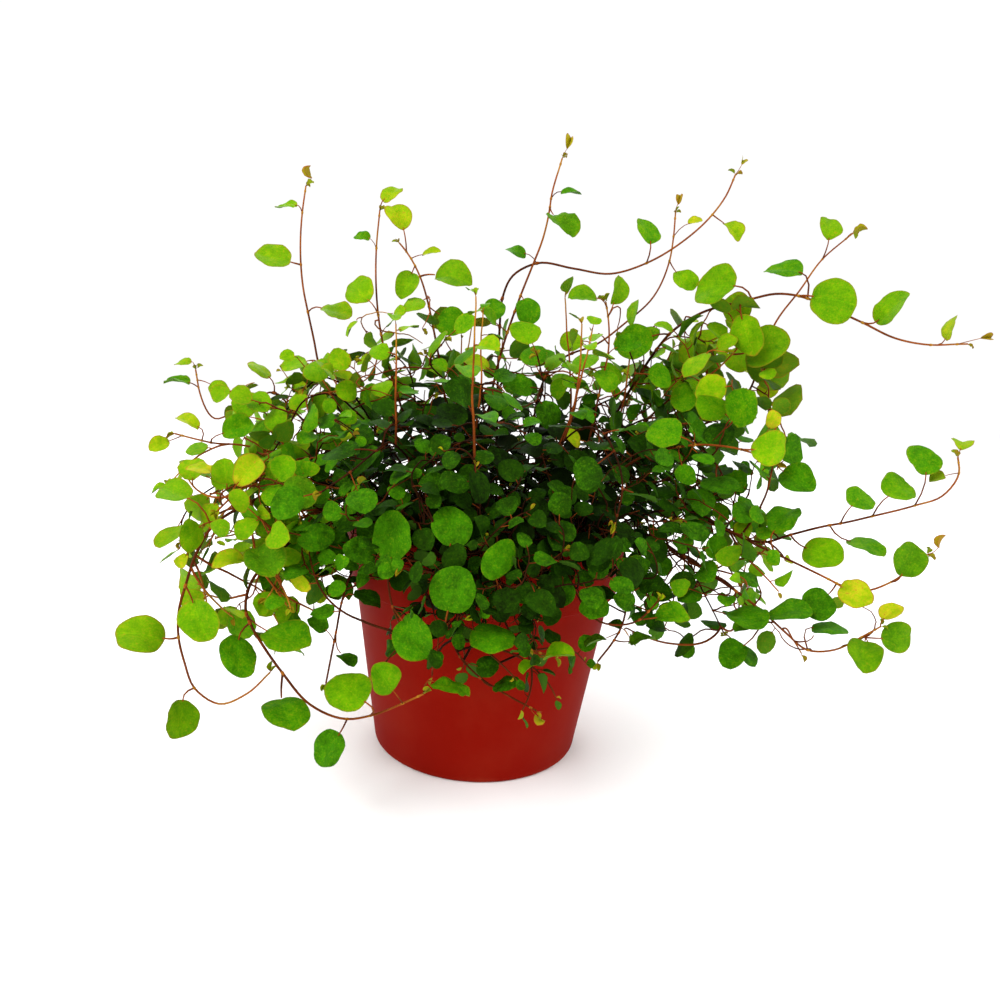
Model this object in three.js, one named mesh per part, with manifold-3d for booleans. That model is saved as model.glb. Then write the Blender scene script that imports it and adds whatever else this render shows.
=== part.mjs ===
// Potted maidenhair vine: wiry stems with small round leaves, rooted in a pot of soil.
//
// Frame: millimetres, +Z up, origin at the middle of the pot's underside. -Y is the side that the
// plant shows best, and +X is to the right from there. Each leafy stem is one solid that stands in
// its own hole in the soil, and no two of them touch.

import * as THREE from "three";
import { mergeVertices } from "three/addons/utils/BufferGeometryUtils.js";
import Module from "manifold-3d";

const wasm = await Module();
wasm.setup();

// Driving dimensions: a 13 cm moulded plastic nursery pot.
const POT_HEIGHT = 106;
const RIM_RADIUS = 65;
const BASE_RADIUS = 48;
const BAND_HEIGHT = 28; // the collar below the rim, which stands out from the wall
const BAND_STEP = 2.6;
const BAND_SLOPE = 1; // height over which the wall steps out into the collar
const WALL = 1.6;
const FLOOR = 2.4;
const BASE_CHAMFER = 2.2;
const LIP = 0.9; // rounding of the rim's edges
const RIM_SPARE = 5; // stems and leaves inside the rim stay this far from its outside
const BAND_FOOT = POT_HEIGHT - BAND_HEIGHT;
const BAND_TAPER = 2.8;
const WALL_TOP = RIM_RADIUS - BAND_STEP - BAND_TAPER; // radius of the wall where the collar begins
const POT_SIDES = 36;
const DRAIN_HOLES = 6;
const DRAIN_RADIUS = 4.5;
const DRAIN_CIRCLE = 33;
const DRILL_SIDES = 8;

// Soil, filled to a little below the rim.
const SOIL_EDGE = 93;
const SOIL_CROWN = 97;
const SOIL_SHOULDER = [34, 95.8]; // radius and height where the crown begins to fall to the edge
const SOIL_GAP = 0.3; // between any two pieces that rest on each other
const SOIL_SIDES = 24;

// Stems: three-sided wires, straight where they stand in the soil.
const STEM_BASE_RADIUS = 1.25;
const STEM_TIP_RADIUS = 0.75;
const STEM_STEP = 18; // no straight facet of a stem is much longer
const ROOT_DEPTH = 28;
const ROOT_TOP = 101; // the stems are free to bend above this height
const STEM_CLEAR = 4; // between the centre lines of two stems
const STEM_POT_GAP = 2.5; // between a stem's centre line and the pot or the soil
const ROUTE_STEP = 6; // a route is tested at points this far apart
const ROUTE_TRIES = 400;
const ROUTE_WAVER = { step: 0.35, most: 28 }; // a route gives way by so much more at each try
const ROOT_WAVER = { step: 0.12, most: 12 };

// Leaves: nearly round blades folded a little along the midrib, each on a short stalk.
const BLADE = 0.7;
const SHOWN_CORNERS = 8; // corners round a blade, with the stalk at the first one
const MOUND_CORNERS = 6;
const LEAF_LENGTH = 0.96; // as a share of its width
const FOLD = 0.07; // how far the sides rise, as a share of the leaf's width
const STALK_HALF_WIDTH = 0.5;
const STALK_NODE = 0.7; // half the length of stem that a stalk grows out of
const STALK_LEAST_ANGLE = 40; // between a stalk and its stem, in degrees
const STALK_STEEPEST = 0.8; // sine of the angle at which a stalk may meet its blade
const TIP_STALK_BACK = -0.25; // a stalk at a stem's end leads on by this cosine at least
const NODE_SPACING = 3.5; // between the feet of two stalks
const FOOT_STRAY = 4;
const WIDTH_STRAY = 0.24; // share by which the widths of the leaves by rule differ
const FIRST_LEAF = 18; // bare length of stem above the soil
const LEAF_CLEAR = 0.3;
const LEAF_POT_GAP = 1.2;
const RIM_SAMPLES = 12; // points round a leaf's disc, and spans along a stem's segment, that are tested
const SEGMENT_SAMPLES = 6;

// A leaf at a chosen place: how often it looks for room, how far it gives way at each try, how it
// turns in degrees, and what its stalk is chosen for.
const SHOWN_TRIES = 40;
const SHOWN_SWAY = { step: 0.6, most: 9, tilt: 5, turn: 6 };
const SHOWN_TURN = 24;
const FOOT_STEP = 1.5;
const STALK_WANTED = { length: 5, straight: 0.75, beside: 0.7 };
const STALK_COST = { bent: 14, along: 20 };

// A leaf by rule: what its face looks towards, and which way its stalk grows.
const RULE_TRIES = 14;
const RULE_FACE = { outward: 0.5, up: 0.55, light: 0.55, stray: 1.1 };
const RULE_STALK = { least: 4.4, more: 3.6, stray: 0.6 };
const SIDE_REACH = { beside: 0.9, ahead: 0.35 };
const TIP_REACH = { beside: 0.2, ahead: 0.9 };
const LIT_FRONT = 40; // leaves further back than this get none of the light, and further front all
const LIT_SPAN = 80;

// The plant has grown towards this point, so its leaves on this side face it.
const LIGHT = new THREE.Vector3(5, -347, 180);
const UP = new THREE.Vector3(0, 0, 1);

// Stems that stand out of the mass. Each has a root on the soil, points that it grows through, and
// its showiest leaves as [x, y, z, width, tilt in degrees]. The others follow by rule, close together
// on the stems of the shoulders and tufts.
const SHOWN_VINES = [
  {
    name: "vine_arch_right",
    spacing: 9,
    root: [38, 6],
    route: [[50, 10, 140], [62, 2, 172], [79, -5, 200], [104, -15, 211], [121, -20, 214], [144, -25, 206],
      [167, -30, 197], [190, -31, 198]],
    leaves: [[59, -8, 192, 17, 5], [90, -17, 216, 19, 12], [115, -20, 222, 14, 60], [135, -29, 212, 19, 8],
      [157, -32, 210, 15, 8], [182, -31, 204, 11, 20], [104, -20, 196, 17, 10], [193, -31, 199, 5, 10]],
  },
  {
    name: "vine_top_right",
    spacing: 8,
    root: [40, 26],
    route: [[92, 25, 148], [118, 20, 168], [127, 20, 201], [138, 20, 220], [146, 20, 234], [159, 20, 247]],
    leaves: [[147, 17, 248, 12, 15], [162, 20, 249, 6, 60], [112, 16, 186, 14, 25]],
  },
  {
    name: "vine_wave_far",
    spacing: 12,
    root: [4, 16],
    route: [[0, 10, 193], [4, 2, 216], [20, 0, 223], [41, 0, 219], [60, 0, 224], [76, 0, 234], [92, 0, 251],
      [97, 0, 264]],
    leaves: [[62, -3, 238, 13, 10], [98, -3, 241, 12, 25], [99, -1, 269, 5, 15], [5, -3, 226, 9, 45],
      [-4, 4, 202, 11, 30]],
  },
  {
    name: "vine_wave_near",
    spacing: 9,
    root: [16, 20],
    route: [[22, 10, 172], [46, 9, 190], [63, 5, 206], [71, 5, 217], [74, 5, 232], [74, 5, 248]],
    leaves: [[80, 3, 219, 12, 15], [81, 4, 242, 7, 55], [74, 4, 253, 5, 20], [33, 5, 190, 11, 30]],
  },
  {
    name: "vine_centre_tall",
    spacing: 9,
    root: [-5, 0],
    route: [[-3, -5, 150], [1, -8, 180], [8, -8, 206], [17, -8, 234], [19, -8, 253], [22, -8, 264]],
    leaves: [[20, -12, 236, 15, 35], [20, -8, 252, 9, 75], [25, -8, 270, 6, 20], [12, -11, 200, 12, 25]],
  },
  {
    name: "vine_left_tall",
    root: [-34, 16],
    route: [[-72, 13, 150], [-81, 11, 166], [-86, 10, 187], [-91, 10, 209], [-92, 10, 231], [-90, 10, 250]],
    leaves: [[-101, 8, 219, 17, 45], [-99, 10, 241, 11, 72], [-75, 8, 196, 15, 50], [-88, 10, 256, 6, 10]],
  },
  {
    name: "vine_pair_left",
    spacing: 9,
    root: [-22, 6],
    route: [[-42, 0, 155], [-51, 0, 181], [-55, 0, 202], [-56, 0, 223], [-55, 0, 240]],
    leaves: [[-50, 0, 248, 10, 30], [-62, -1, 229, 7, 20], [-62, -2, 203, 15, 20]],
  },
  {
    name: "vine_pair_right",
    spacing: 9,
    root: [-12, -6],
    route: [[-23, 0, 163], [-28, 0, 186], [-34, 0, 208], [-40, 0, 220], [-46, 0, 227]],
    leaves: [[-45, -7, 237, 12, 5], [-22, -3, 214, 18, 35], [-23, -4, 195, 14, 10], [-41, -5, 209, 13, 5],
      [-32, -2, 223, 8, 70]],
  },
  {
    name: "vine_mid_right",
    spacing: 9,
    root: [22, -20],
    route: [[38, -21, 130], [45, -20, 172], [47, -20, 191], [44, -20, 206]],
    leaves: [[48, -23, 211, 13, 10], [36, -22, 210, 13, 15], [54, -22, 190, 11, 30]],
  },
  {
    name: "vine_left_top",
    spacing: 11,
    root: [-40, 22],
    route: [[-90, 20, 143], [-108, 20, 158], [-120, 16, 150], [-131, 15, 142], [-139, 15, 151],
      [-142, 15, 166]],
    leaves: [[-141, 13, 172, 8, 55], [-151, 17, 160, 12, 78], [-130, 12, 158, 10, 20],
      [-112, 16, 168, 13, 20]],
  },
  {
    name: "vine_left_out",
    root: [-42, -10],
    route: [[-78, -30, 130], [-98, -42, 139], [-110, -48, 140], [-124, -50, 143]],
    leaves: [[-129, -51, 143, 8, 30], [-118, -53, 148, 10, 10], [-98, -52, 147, 13, 15]],
  },
  {
    name: "vine_left_loop",
    root: [-42, -22],
    route: [[-69, -42, 127], [-88, -60, 121], [-103, -70, 110], [-109, -75, 92], [-113, -75, 76],
      [-111, -75, 60], [-103, -75, 43], [-89, -75, 46], [-78, -75, 57]],
    leaves: [[-126, -77, 70, 18, 8], [-103, -80, 78, 16, 10], [-110, -79, 38, 15, 10],
      [-116, -71, 123, 15, 40], [-107, -76, 109, 12, 10]],
  },
  {
    name: "vine_left_low",
    root: [-33, -31],
    route: [[-56, -52, 116], [-78, -68, 102], [-88, -75, 85], [-78, -80, 68], [-69, -81, 57], [-57, -83, 46],
      [-47, -85, 45], [-36, -86, 48], [-25, -87, 54], [-18, -87, 58]],
    leaves: [[-88, -83, 67, 16, 12], [-69, -86, 75, 17, 25], [-71, -85, 47, 18, 12], [-45, -91, 59, 18, 5],
      [-32, -92, 65, 13, 0], [-51, -91, 36, 14, 5], [-9, -90, 62, 15, 60]],
  },
  {
    name: "vine_left_drop",
    root: [-27, -40],
    route: [[-42, -62, 110], [-51, -71, 94], [-53, -75, 74], [-57, -77, 56]],
    leaves: [[-49, -78, 66, 9, 40], [-60, -75, 78, 9, 20], [-42, -74, 88, 12, 20]],
  },
  {
    name: "vine_left_lime",
    root: [-46, -2],
    route: [[-68, -30, 132], [-80, -52, 134], [-92, -66, 126], [-99, -72, 118]],
    leaves: [[-88, -70, 134, 14, 0], [-108, -62, 130, 10, 15], [-72, -68, 125, 14, 15]],
  },
  {
    name: "vine_left_mid",
    root: [-38, -16],
    route: [[-58, -44, 119], [-70, -62, 112], [-80, -72, 100], [-72, -78, 90]],
    leaves: [[-80, -79, 101, 17, 15], [-94, -74, 100, 12, 35], [-62, -74, 110, 13, 30]],
  },
  {
    name: "vine_front_left",
    root: [-19, -36],
    route: [[-28, -62, 116], [-34, -76, 104], [-32, -84, 92], [-26, -86, 80]],
    leaves: [[-32, -78, 114, 18, 8], [-22, -90, 81, 17, 5], [-45, -76, 108, 12, 20]],
  },
  {
    name: "vine_front",
    root: [-5, -39],
    route: [[-8, -62, 116], [-12, -79, 106], [-11, -85, 88], [-5, -82, 70], [8, -80, 59], [24, -80, 51]],
    leaves: [[-11, -80, 120, 16, 0], [-9, -92, 100, 18, 0], [3, -84, 68, 9, 20], [12, -84, 63, 11, 35],
      [28, -79, 49, 5, 10]],
  },
  {
    name: "vine_front_mid",
    root: [9, -38],
    route: [[6, -62, 118], [5, -78, 108], [8, -84, 92], [16, -84, 78], [29, -82, 74]],
    leaves: [[4, -87, 109, 14, 10], [6, -91, 83, 17, 35], [21, -87, 74, 9, 70], [32, -83, 75, 13, 45]],
  },
  {
    name: "vine_front_right",
    root: [25, -32],
    route: [[28, -64, 112], [36, -75, 96], [46, -77, 86], [57, -78, 86], [66, -77, 96]],
    leaves: [[42, -81, 93, 11, 15], [72, -75, 90, 13, 10], [30, -80, 98, 11, 25], [52, -79, 96, 9, 30]],
  },
  {
    name: "vine_right_drop",
    root: [36, -27],
    route: [[50, -60, 108], [56, -67, 92], [54, -70, 78], [48, -72, 70]],
    leaves: [[63, -70, 78, 11, 72], [47, -73, 76, 9, 55], [64, -66, 100, 10, 50]],
  },
  {
    name: "vine_right_long",
    root: [43, -8],
    route: [[72, -12, 128], [93, -20, 118], [119, -25, 109], [135, -30, 117], [154, -31, 122],
      [174, -31, 129], [189, -31, 134], [196, -31, 144], [194, -31, 152]],
    leaves: [[161, -33, 113, 15, 60], [141, -34, 109, 17, 20], [155, -33, 132, 13, 30],
      [171, -33, 137, 15, 40], [177, -32, 146, 14, 12], [190, -31, 156, 10, 68], [187, -31, 143, 7, 20]],
  },
  {
    name: "vine_right_low",
    root: [38, -19],
    route: [[66, -32, 108], [90, -42, 99], [105, -50, 93], [118, -51, 82], [132, -51, 72], [142, -51, 69],
      [153, -51, 76], [163, -51, 84]],
    leaves: [[107, -54, 83, 18, 35], [104, -52, 68, 14, 10], [123, -54, 88, 18, 40], [141, -54, 82, 14, 10],
      [156, -53, 71, 15, 30], [168, -53, 80, 14, 10], [164, -54, 91, 9, 5]],
  },
  {
    name: "vine_right_fork",
    root: [46, -1],
    route: [[80, -28, 122], [108, -40, 113], [135, -46, 103], [152, -50, 97], [165, -50, 102],
      [177, -50, 114]],
    leaves: [[151, -53, 99, 13, 10], [169, -52, 112, 15, 15], [182, -50, 120, 6, 30],
      [124, -36, 122, 17, 15], [133, -49, 94, 14, 45]],
  },
  {
    name: "vine_right_mass",
    root: [36, -12],
    route: [[56, -30, 138], [76, -42, 150], [98, -42, 151], [116, -40, 146]],
    leaves: [[69, -45, 156, 15, 8], [77, -51, 140, 9, 0], [109, -45, 152, 16, 5], [125, -41, 139, 15, 5],
      [112, -43, 163, 8, 10]],
  },
  {
    name: "vine_right_upper",
    spacing: 7,
    width: 14.5,
    root: [45, 7],
    route: [[64, 8, 146], [82, 8, 168], [96, -4, 180], [107, -12, 196]],
    leaves: [[114, -14, 192, 19, 12], [102, -6, 208, 14, 10], [94, -14, 188, 16, 15]],
  },
];

// Their leaves by rule stand between the soil and the show, and their routes give way only a little.
const SHOWN_REST = { width: 13, bare: 0.2, spacing: 26, give: 0.3 };

// Stems of the mound, made by rule: a group spreads over a span of bearings, each stem rises to its
// crown height at about two thirds of its reach and ends at its end height. Its points stray sideways,
// and its leaves start above its bare share.
const CROWN_SHARE = 0.62;
const RISE = { share: 0.25, height: 0.55 }; // a point on the way up, as shares of reach and of the rise
const FALL = { share: 0.88, height: 0.45 }; // and one on the way down
const HEIGHT_STRAY = 8;
const BEARING_STRAY = 16; // degrees
const MOUND_WIDER = 0.14; // the mound is wider than it is deep
const MOUND_GROUPS = [
  {
    name: "vine_inner", count: 8, bearings: [-160, 200], root: 15, reach: [26, 60],
    crown: [152, 176], end: [166, 188], bare: 0.3, spacing: 12, width: 15, stray: 14, give: 1,
  },
  {
    name: "vine_spread", count: 11, bearings: [-170, 190], root: 29, reach: [82, 112],
    crown: [148, 166], end: [124, 146], bare: 0.3, spacing: 13, width: 15.5, stray: 14, give: 1,
  },
  {
    name: "vine_skirt", count: 8, bearings: [-30, 210], root: 41, reach: [92, 116],
    crown: [124, 138], end: [64, 96], bare: 0.3, spacing: 12, width: 16, stray: 14, give: 1,
  },
  {
    name: "vine_brow", count: 5, bearings: [-144, -30], root: 50, reach: [84, 94],
    crown: [122, 134], end: [108, 120], bare: 0.1, spacing: 10, width: 12.5, stray: 5, give: 0.4,
  },
];

// Random draws from a seed: the same list of numbers in any language.
function dice(seed) {
  let state = (seed * 48271 + 11) % 2147483647;
  const next = () => {
    state = (state * 16807) % 2147483647;
    return state / 2147483647;
  };
  next();
  next();
  return next;
}

const vec = (p) => new THREE.Vector3(p[0], p[1], p[2]);
const between = (range, share) => range[0] + (range[1] - range[0]) * share;
const radians = THREE.MathUtils.degToRad;

// The radius of the pot's outside at a height.
function potRadius(z) {
  return z > BAND_FOOT ? RIM_RADIUS : THREE.MathUtils.lerp(BASE_RADIUS, WALL_TOP + BAND_STEP, z / BAND_FOOT);
}

// A point is clear of the pot and the soil if it is above the rim inside, or outside the wall.
function clearOfPot(p, gap) {
  const r = Math.hypot(p.x, p.y);
  if (p.z < gap) return false;
  if (p.z > POT_HEIGHT + gap) return true;
  if (r > potRadius(p.z) + gap) return true;
  return r < RIM_RADIUS - RIM_SPARE - gap && p.z > SOIL_CROWN + gap;
}

// Distances between a point, a segment and a disc.
function pointToDisc(p, disc) {
  const q = p.clone().sub(disc.centre);
  const h = q.dot(disc.normal);
  const along = Math.sqrt(Math.max(0, q.lengthSq() - h * h));
  return along <= disc.radius ? Math.abs(h) : Math.hypot(h, along - disc.radius);
}

function segmentToDisc(a, b, disc) {
  const ha = a.clone().sub(disc.centre).dot(disc.normal);
  const hb = b.clone().sub(disc.centre).dot(disc.normal);
  if (ha * hb < 0) {
    const hit = a.clone().lerp(b, ha / (ha - hb));
    if (hit.distanceTo(disc.centre) < disc.radius) return 0;
  }
  let best = Infinity;
  for (let k = 0; k <= SEGMENT_SAMPLES; k++) {
    best = Math.min(best, pointToDisc(a.clone().lerp(b, k / SEGMENT_SAMPLES), disc));
  }
  return best;
}

function segmentToSegment(a, b, c, d) {
  const u = b.clone().sub(a);
  const v = d.clone().sub(c);
  const w = a.clone().sub(c);
  const uu = u.dot(u);
  const uv = u.dot(v);
  const vv = v.dot(v);
  const uw = u.dot(w);
  const vw = v.dot(w);
  const det = uu * vv - uv * uv;
  let s = det > 1e-9 ? Math.min(1, Math.max(0, (uv * vw - vv * uw) / det)) : 0;
  const t = Math.min(1, Math.max(0, (uv * s + vw) / vv));
  s = Math.min(1, Math.max(0, (uv * t - uw) / uu));
  return a.clone().lerp(b, s).distanceTo(c.clone().lerp(d, t));
}

// Two discs cross where the stretches that they cover on the line of both planes overlap.
function discsCross(p, q) {
  const line = p.normal.clone().cross(q.normal);
  const size = line.lengthSq();
  if (size < 1e-4) return false;
  const onLine = q.normal.clone().cross(line).multiplyScalar(p.centre.dot(p.normal))
    .add(line.clone().cross(p.normal).multiplyScalar(q.centre.dot(q.normal))).divideScalar(size);
  line.divideScalar(Math.sqrt(size));
  const spans = [p, q].map((disc) => {
    const w = disc.centre.clone().sub(onLine);
    const t = w.dot(line);
    const left = disc.radius * disc.radius - (w.lengthSq() - t * t);
    return left > 0 ? [t - Math.sqrt(left), t + Math.sqrt(left)] : null;
  });
  return spans[0] !== null && spans[1] !== null && spans[0][0] < spans[1][1] && spans[1][0] < spans[0][1];
}

function rimOf(disc) {
  return Array.from({ length: RIM_SAMPLES }, (_, k) => {
    const a = (2 * Math.PI * k) / RIM_SAMPLES;
    return disc.centre.clone().addScaledVector(disc.across, disc.radius * Math.cos(a))
      .addScaledVector(disc.along, disc.radius * Math.sin(a));
  });
}

function discsApart(p, q, gap) {
  if (p.centre.distanceTo(q.centre) > p.radius + q.radius + gap) return true;
  if (discsCross(p, q)) return false;
  return rimOf(p).every((point) => pointToDisc(point, q) > gap)
    && rimOf(q).every((point) => pointToDisc(point, p) > gap)
    && pointToDisc(p.centre, q) > gap;
}

// Everything placed so far: stem and stalk segments, and leaf discs.
let placedSegments = [];
const placedDiscs = [];

// The smooth line of a stem, as points close together: straight in the soil, then through its route.
function stemRoute(root, route) {
  const foot = new THREE.Vector3(root[0], root[1], ROOT_TOP);
  const through = [foot, ...route];
  const curve = new THREE.CatmullRomCurve3(through, false, "catmullrom", 0.5);
  const points = [new THREE.Vector3(root[0], root[1], ROOT_TOP - ROOT_DEPTH), foot];
  for (let i = 1; i < through.length; i++) {
    const steps = Math.max(1, Math.round(through[i].distanceTo(through[i - 1]) / ROUTE_STEP));
    for (let k = 1; k <= steps; k++) points.push(curve.getPoint((i - 1 + k / steps) / (through.length - 1)));
  }
  return points;
}

function routeIsClear(points) {
  for (let i = 1; i < points.length; i++) {
    if (i > 1 && !clearOfPot(points[i], STEM_POT_GAP)) return false;
    for (const s of placedSegments) {
      if (segmentToSegment(points[i - 1], points[i], s.a, s.b) < STEM_CLEAR) return false;
    }
  }
  return true;
}

// Grows a stem: its route is wavered a little more at each try until it clears what stands already.
function growStem(vine, index) {
  const roll = dice(100 + index);
  for (let k = 0; k < ROUTE_TRIES; k++) {
    const waver = Math.min(ROUTE_WAVER.step * k, ROUTE_WAVER.most);
    const rootWaver = Math.min(ROOT_WAVER.step * k, ROOT_WAVER.most);
    const root = vine.root.map((c) => c + rootWaver * (roll() - 0.5));
    const route = vine.route.map((p, j) => {
      const give = j > 0 ? vine.give : 1;
      return vec(p.map((c) => c + give * waver * (roll() - 0.5)));
    });
    const points = stemRoute(root, route);
    if (!routeIsClear(points)) continue;
    for (let i = 1; i < points.length; i++) placedSegments.push({ a: points[i - 1], b: points[i] });
    return points;
  }
  throw new Error(vine.name + " finds no clear way");
}

function lengthOf(points) {
  return points.slice(1).reduce((sum, p, i) => sum + p.distanceTo(points[i]), 0);
}

// The point at a distance along a line.
function alongLine(points, distance) {
  let left = distance;
  for (let i = 1; i < points.length; i++) {
    const span = points[i].distanceTo(points[i - 1]);
    if (left <= span || i === points.length - 1) {
      return points[i - 1].clone().lerp(points[i], Math.min(1, left / span));
    }
    left -= span;
  }
}

// The face of a shown leaf: level towards the light, turned a little, and tilted up.
function shownFace(centre, tilt, turn) {
  const level = LIGHT.clone().sub(centre).setZ(0).normalize().applyAxisAngle(UP, radians(turn));
  return level.multiplyScalar(Math.cos(radians(tilt))).addScaledVector(UP, Math.sin(radians(tilt)));
}

// Where the stalk of a leaf at a chosen centre meets its blade, for a stalk that starts at a point.
function shownBase(from, centre, face, width) {
  const along = centre.clone().sub(from);
  along.addScaledVector(face, -along.dot(face));
  if (along.length() < 0.5) return null;
  return centre.clone().addScaledVector(along.normalize(), (-LEAF_LENGTH * width) / 2);
}

// The distance along a stem from which a shown leaf gets the best stalk: short, and leading into it.
function shownFoot(points, spec) {
  const [x, y, z, width, tilt] = spec;
  const centre = new THREE.Vector3(x, y, z);
  const face = shownFace(centre, tilt, 0);
  const total = lengthOf(points);
  let best = { cost: Infinity, distance: total };
  for (let d = ROOT_DEPTH + FIRST_LEAF; d <= total; d += FOOT_STEP) {
    const from = alongLine(points, d);
    const base = shownBase(from, centre, face, width);
    if (base === null) continue;
    const reach = base.clone().sub(from);
    const stalk = reach.length();
    const straight = reach.dot(centre.clone().sub(base)) / (stalk * base.distanceTo(centre));
    const ahead = alongLine(points, d + 2).sub(alongLine(points, d - 2)).normalize();
    const beside = Math.abs(reach.dot(ahead)) / stalk;
    const cost = Math.abs(stalk - STALK_WANTED.length)
      + STALK_COST.bent * Math.max(0, STALK_WANTED.straight - straight)
      + STALK_COST.along * Math.max(0, beside - STALK_WANTED.beside);
    if (cost < best.cost) best = { cost, distance: d };
  }
  return best.distance;
}

// The nodes of a stem: each has a leaf, or only lets the stem bend.
function stemNodes(vine, points, index) {
  const roll = dice(300 + index);
  const total = lengthOf(points);
  const feet = vine.leaves.map((spec) => ({ distance: shownFoot(points, spec), spec }));
  const first = feet.reduce((least, foot) => Math.min(least, foot.distance), total + vine.spacing);
  const bare = ROOT_DEPTH + Math.max(FIRST_LEAF, vine.bare * (total - ROOT_DEPTH));
  for (let d = first - vine.spacing, side = 1; d > bare; d -= vine.spacing, side = -side) {
    const distance = d < total ? d + FOOT_STRAY * (roll() - 0.5) : d;
    feet.push({ distance, side, width: vine.width * (1 + WIDTH_STRAY * (roll() - 0.5)) });
  }
  feet.sort((a, b) => a.distance - b.distance);
  let room = total;
  for (let i = feet.length - 1; i >= 0; i--) {
    feet[i].distance = Math.min(feet[i].distance, room);
    room = feet[i].distance - NODE_SPACING;
  }
  const nodes = [{ distance: 0 }, { distance: ROOT_DEPTH }];
  const stops = feet.length && feet[feet.length - 1].distance > total - NODE_SPACING / 2
    ? [...feet.slice(0, -1), { ...feet[feet.length - 1], distance: total, tip: true }]
    : [...feet, { distance: total }];
  for (const stop of stops) {
    const start = nodes[nodes.length - 1].distance;
    const steps = Math.ceil((stop.distance - start) / STEM_STEP);
    const step = (stop.distance - start) / steps;
    for (let k = 1; k < steps; k++) nodes.push({ distance: start + step * k });
    nodes.push(stop);
  }
  const last = nodes.length - 1;
  nodes.forEach((node, i) => {
    node.point = alongLine(points, node.distance);
    node.radius = THREE.MathUtils.lerp(STEM_BASE_RADIUS, STEM_TIP_RADIUS, i / last);
  });
  nodes.forEach((node, i) => {
    const before = nodes[Math.max(0, i - 1)].point;
    const after = nodes[Math.min(last, i + 1)].point;
    node.back = before.clone().sub(node.point).normalize();
    node.ahead = after.clone().sub(node.point).normalize();
    node.direction = after.clone().sub(before).normalize();
  });
  return nodes;
}

// A leaf from its node, the point where its stalk meets the blade, its face and its width.
function leafOf(node, base, face, width, corners) {
  const reach = base.clone().sub(node.point).normalize();
  const along = reach.clone().addScaledVector(face, -reach.dot(face)).normalize();
  const across = along.clone().cross(face).normalize();
  const length = width * LEAF_LENGTH;
  const rise = (FOLD * width) / 2;
  const centre = base.clone().addScaledVector(along, length / 2).addScaledVector(face, rise);
  const radius = width / 2 + LEAF_CLEAR;
  const disc = { centre, normal: face, across, along, radius, half: BLADE / 2 + rise };
  return { node, base, face, along, across, reach, width, length, corners, disc };
}

// A stalk may not lie against its own stem, nor meet its blade too steeply.
function stalkIsSound(leaf) {
  const least = Math.cos(radians(STALK_LEAST_ANGLE));
  if (Math.abs(leaf.reach.dot(leaf.face)) > STALK_STEEPEST) return false;
  if (leaf.node.tip) return leaf.reach.dot(leaf.node.back) < TIP_STALK_BACK;
  return leaf.reach.dot(leaf.node.back) < least && leaf.reach.dot(leaf.node.ahead) < least;
}

function leafIsClear(leaf) {
  const { disc, node, base } = leaf;
  if (!stalkIsSound(leaf)) return false;
  if (![disc.centre, ...rimOf(disc)].every((p) => clearOfPot(p, LEAF_POT_GAP))) return false;
  for (const other of placedDiscs) {
    if (!discsApart(disc, other, disc.half + other.half + LEAF_CLEAR)) return false;
    const room = other.half + STALK_HALF_WIDTH + LEAF_CLEAR;
    if (segmentToDisc(node.point, base, other) < room) return false;
  }
  for (const s of placedSegments) {
    if (segmentToDisc(s.a, s.b, disc) < s.radius + disc.half + LEAF_CLEAR) return false;
    if (s.a === node.point || s.b === node.point) continue;
    const room = s.radius + STALK_HALF_WIDTH + LEAF_CLEAR;
    if (segmentToSegment(node.point, base, s.a, s.b) < room) return false;
  }
  return true;
}

// A leaf at a chosen place, which gives way a little more at each try.
function shownLeaf(node, roll, attempt) {
  const [x, y, z, width, tilt] = node.spec;
  const sway = Math.min(SHOWN_SWAY.most, SHOWN_SWAY.step * attempt);
  const centre = new THREE.Vector3(x, y, z);
  centre.x += sway * (roll() - 0.5);
  centre.y += sway * (roll() - 0.7); // rather towards the light
  centre.z += sway * (roll() - 0.5);
  const lift = tilt + SHOWN_SWAY.tilt * sway * (roll() - 0.5);
  const turn = (SHOWN_TURN + SHOWN_SWAY.turn * sway) * (roll() - 0.5);
  const face = shownFace(centre, lift, turn);
  const base = shownBase(node.point, centre, face, width);
  return base === null ? null : leafOf(node, base, face, width, SHOWN_CORNERS);
}

// A leaf by rule, on alternate sides of its stem, facing outwards, upwards and towards the light.
function ruleLeaf(node, roll, attempt) {
  const { point, direction } = node;
  const stray = () => new THREE.Vector3(roll() - 0.5, roll() - 0.5, roll() - 0.5);
  const outward = new THREE.Vector3(point.x, point.y, 0).normalize();
  const toLight = LIGHT.clone().sub(point).normalize();
  const shown = THREE.MathUtils.clamp((LIT_FRONT - point.y) / LIT_SPAN, 0, 1);
  const face = outward.multiplyScalar(RULE_FACE.outward).addScaledVector(UP, RULE_FACE.up)
    .addScaledVector(toLight, RULE_FACE.light * shown).addScaledVector(stray(), RULE_FACE.stray).normalize();
  const side = attempt % 2 ? -node.side : node.side;
  const { beside, ahead } = node.tip ? TIP_REACH : SIDE_REACH;
  const reach = direction.clone().cross(face).normalize().multiplyScalar(side * beside)
    .addScaledVector(direction, ahead).addScaledVector(stray(), RULE_STALK.stray).normalize();
  const base = point.clone().addScaledVector(reach, RULE_STALK.least + RULE_STALK.more * roll());
  return leafOf(node, base, face, node.width, MOUND_CORNERS);
}

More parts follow.
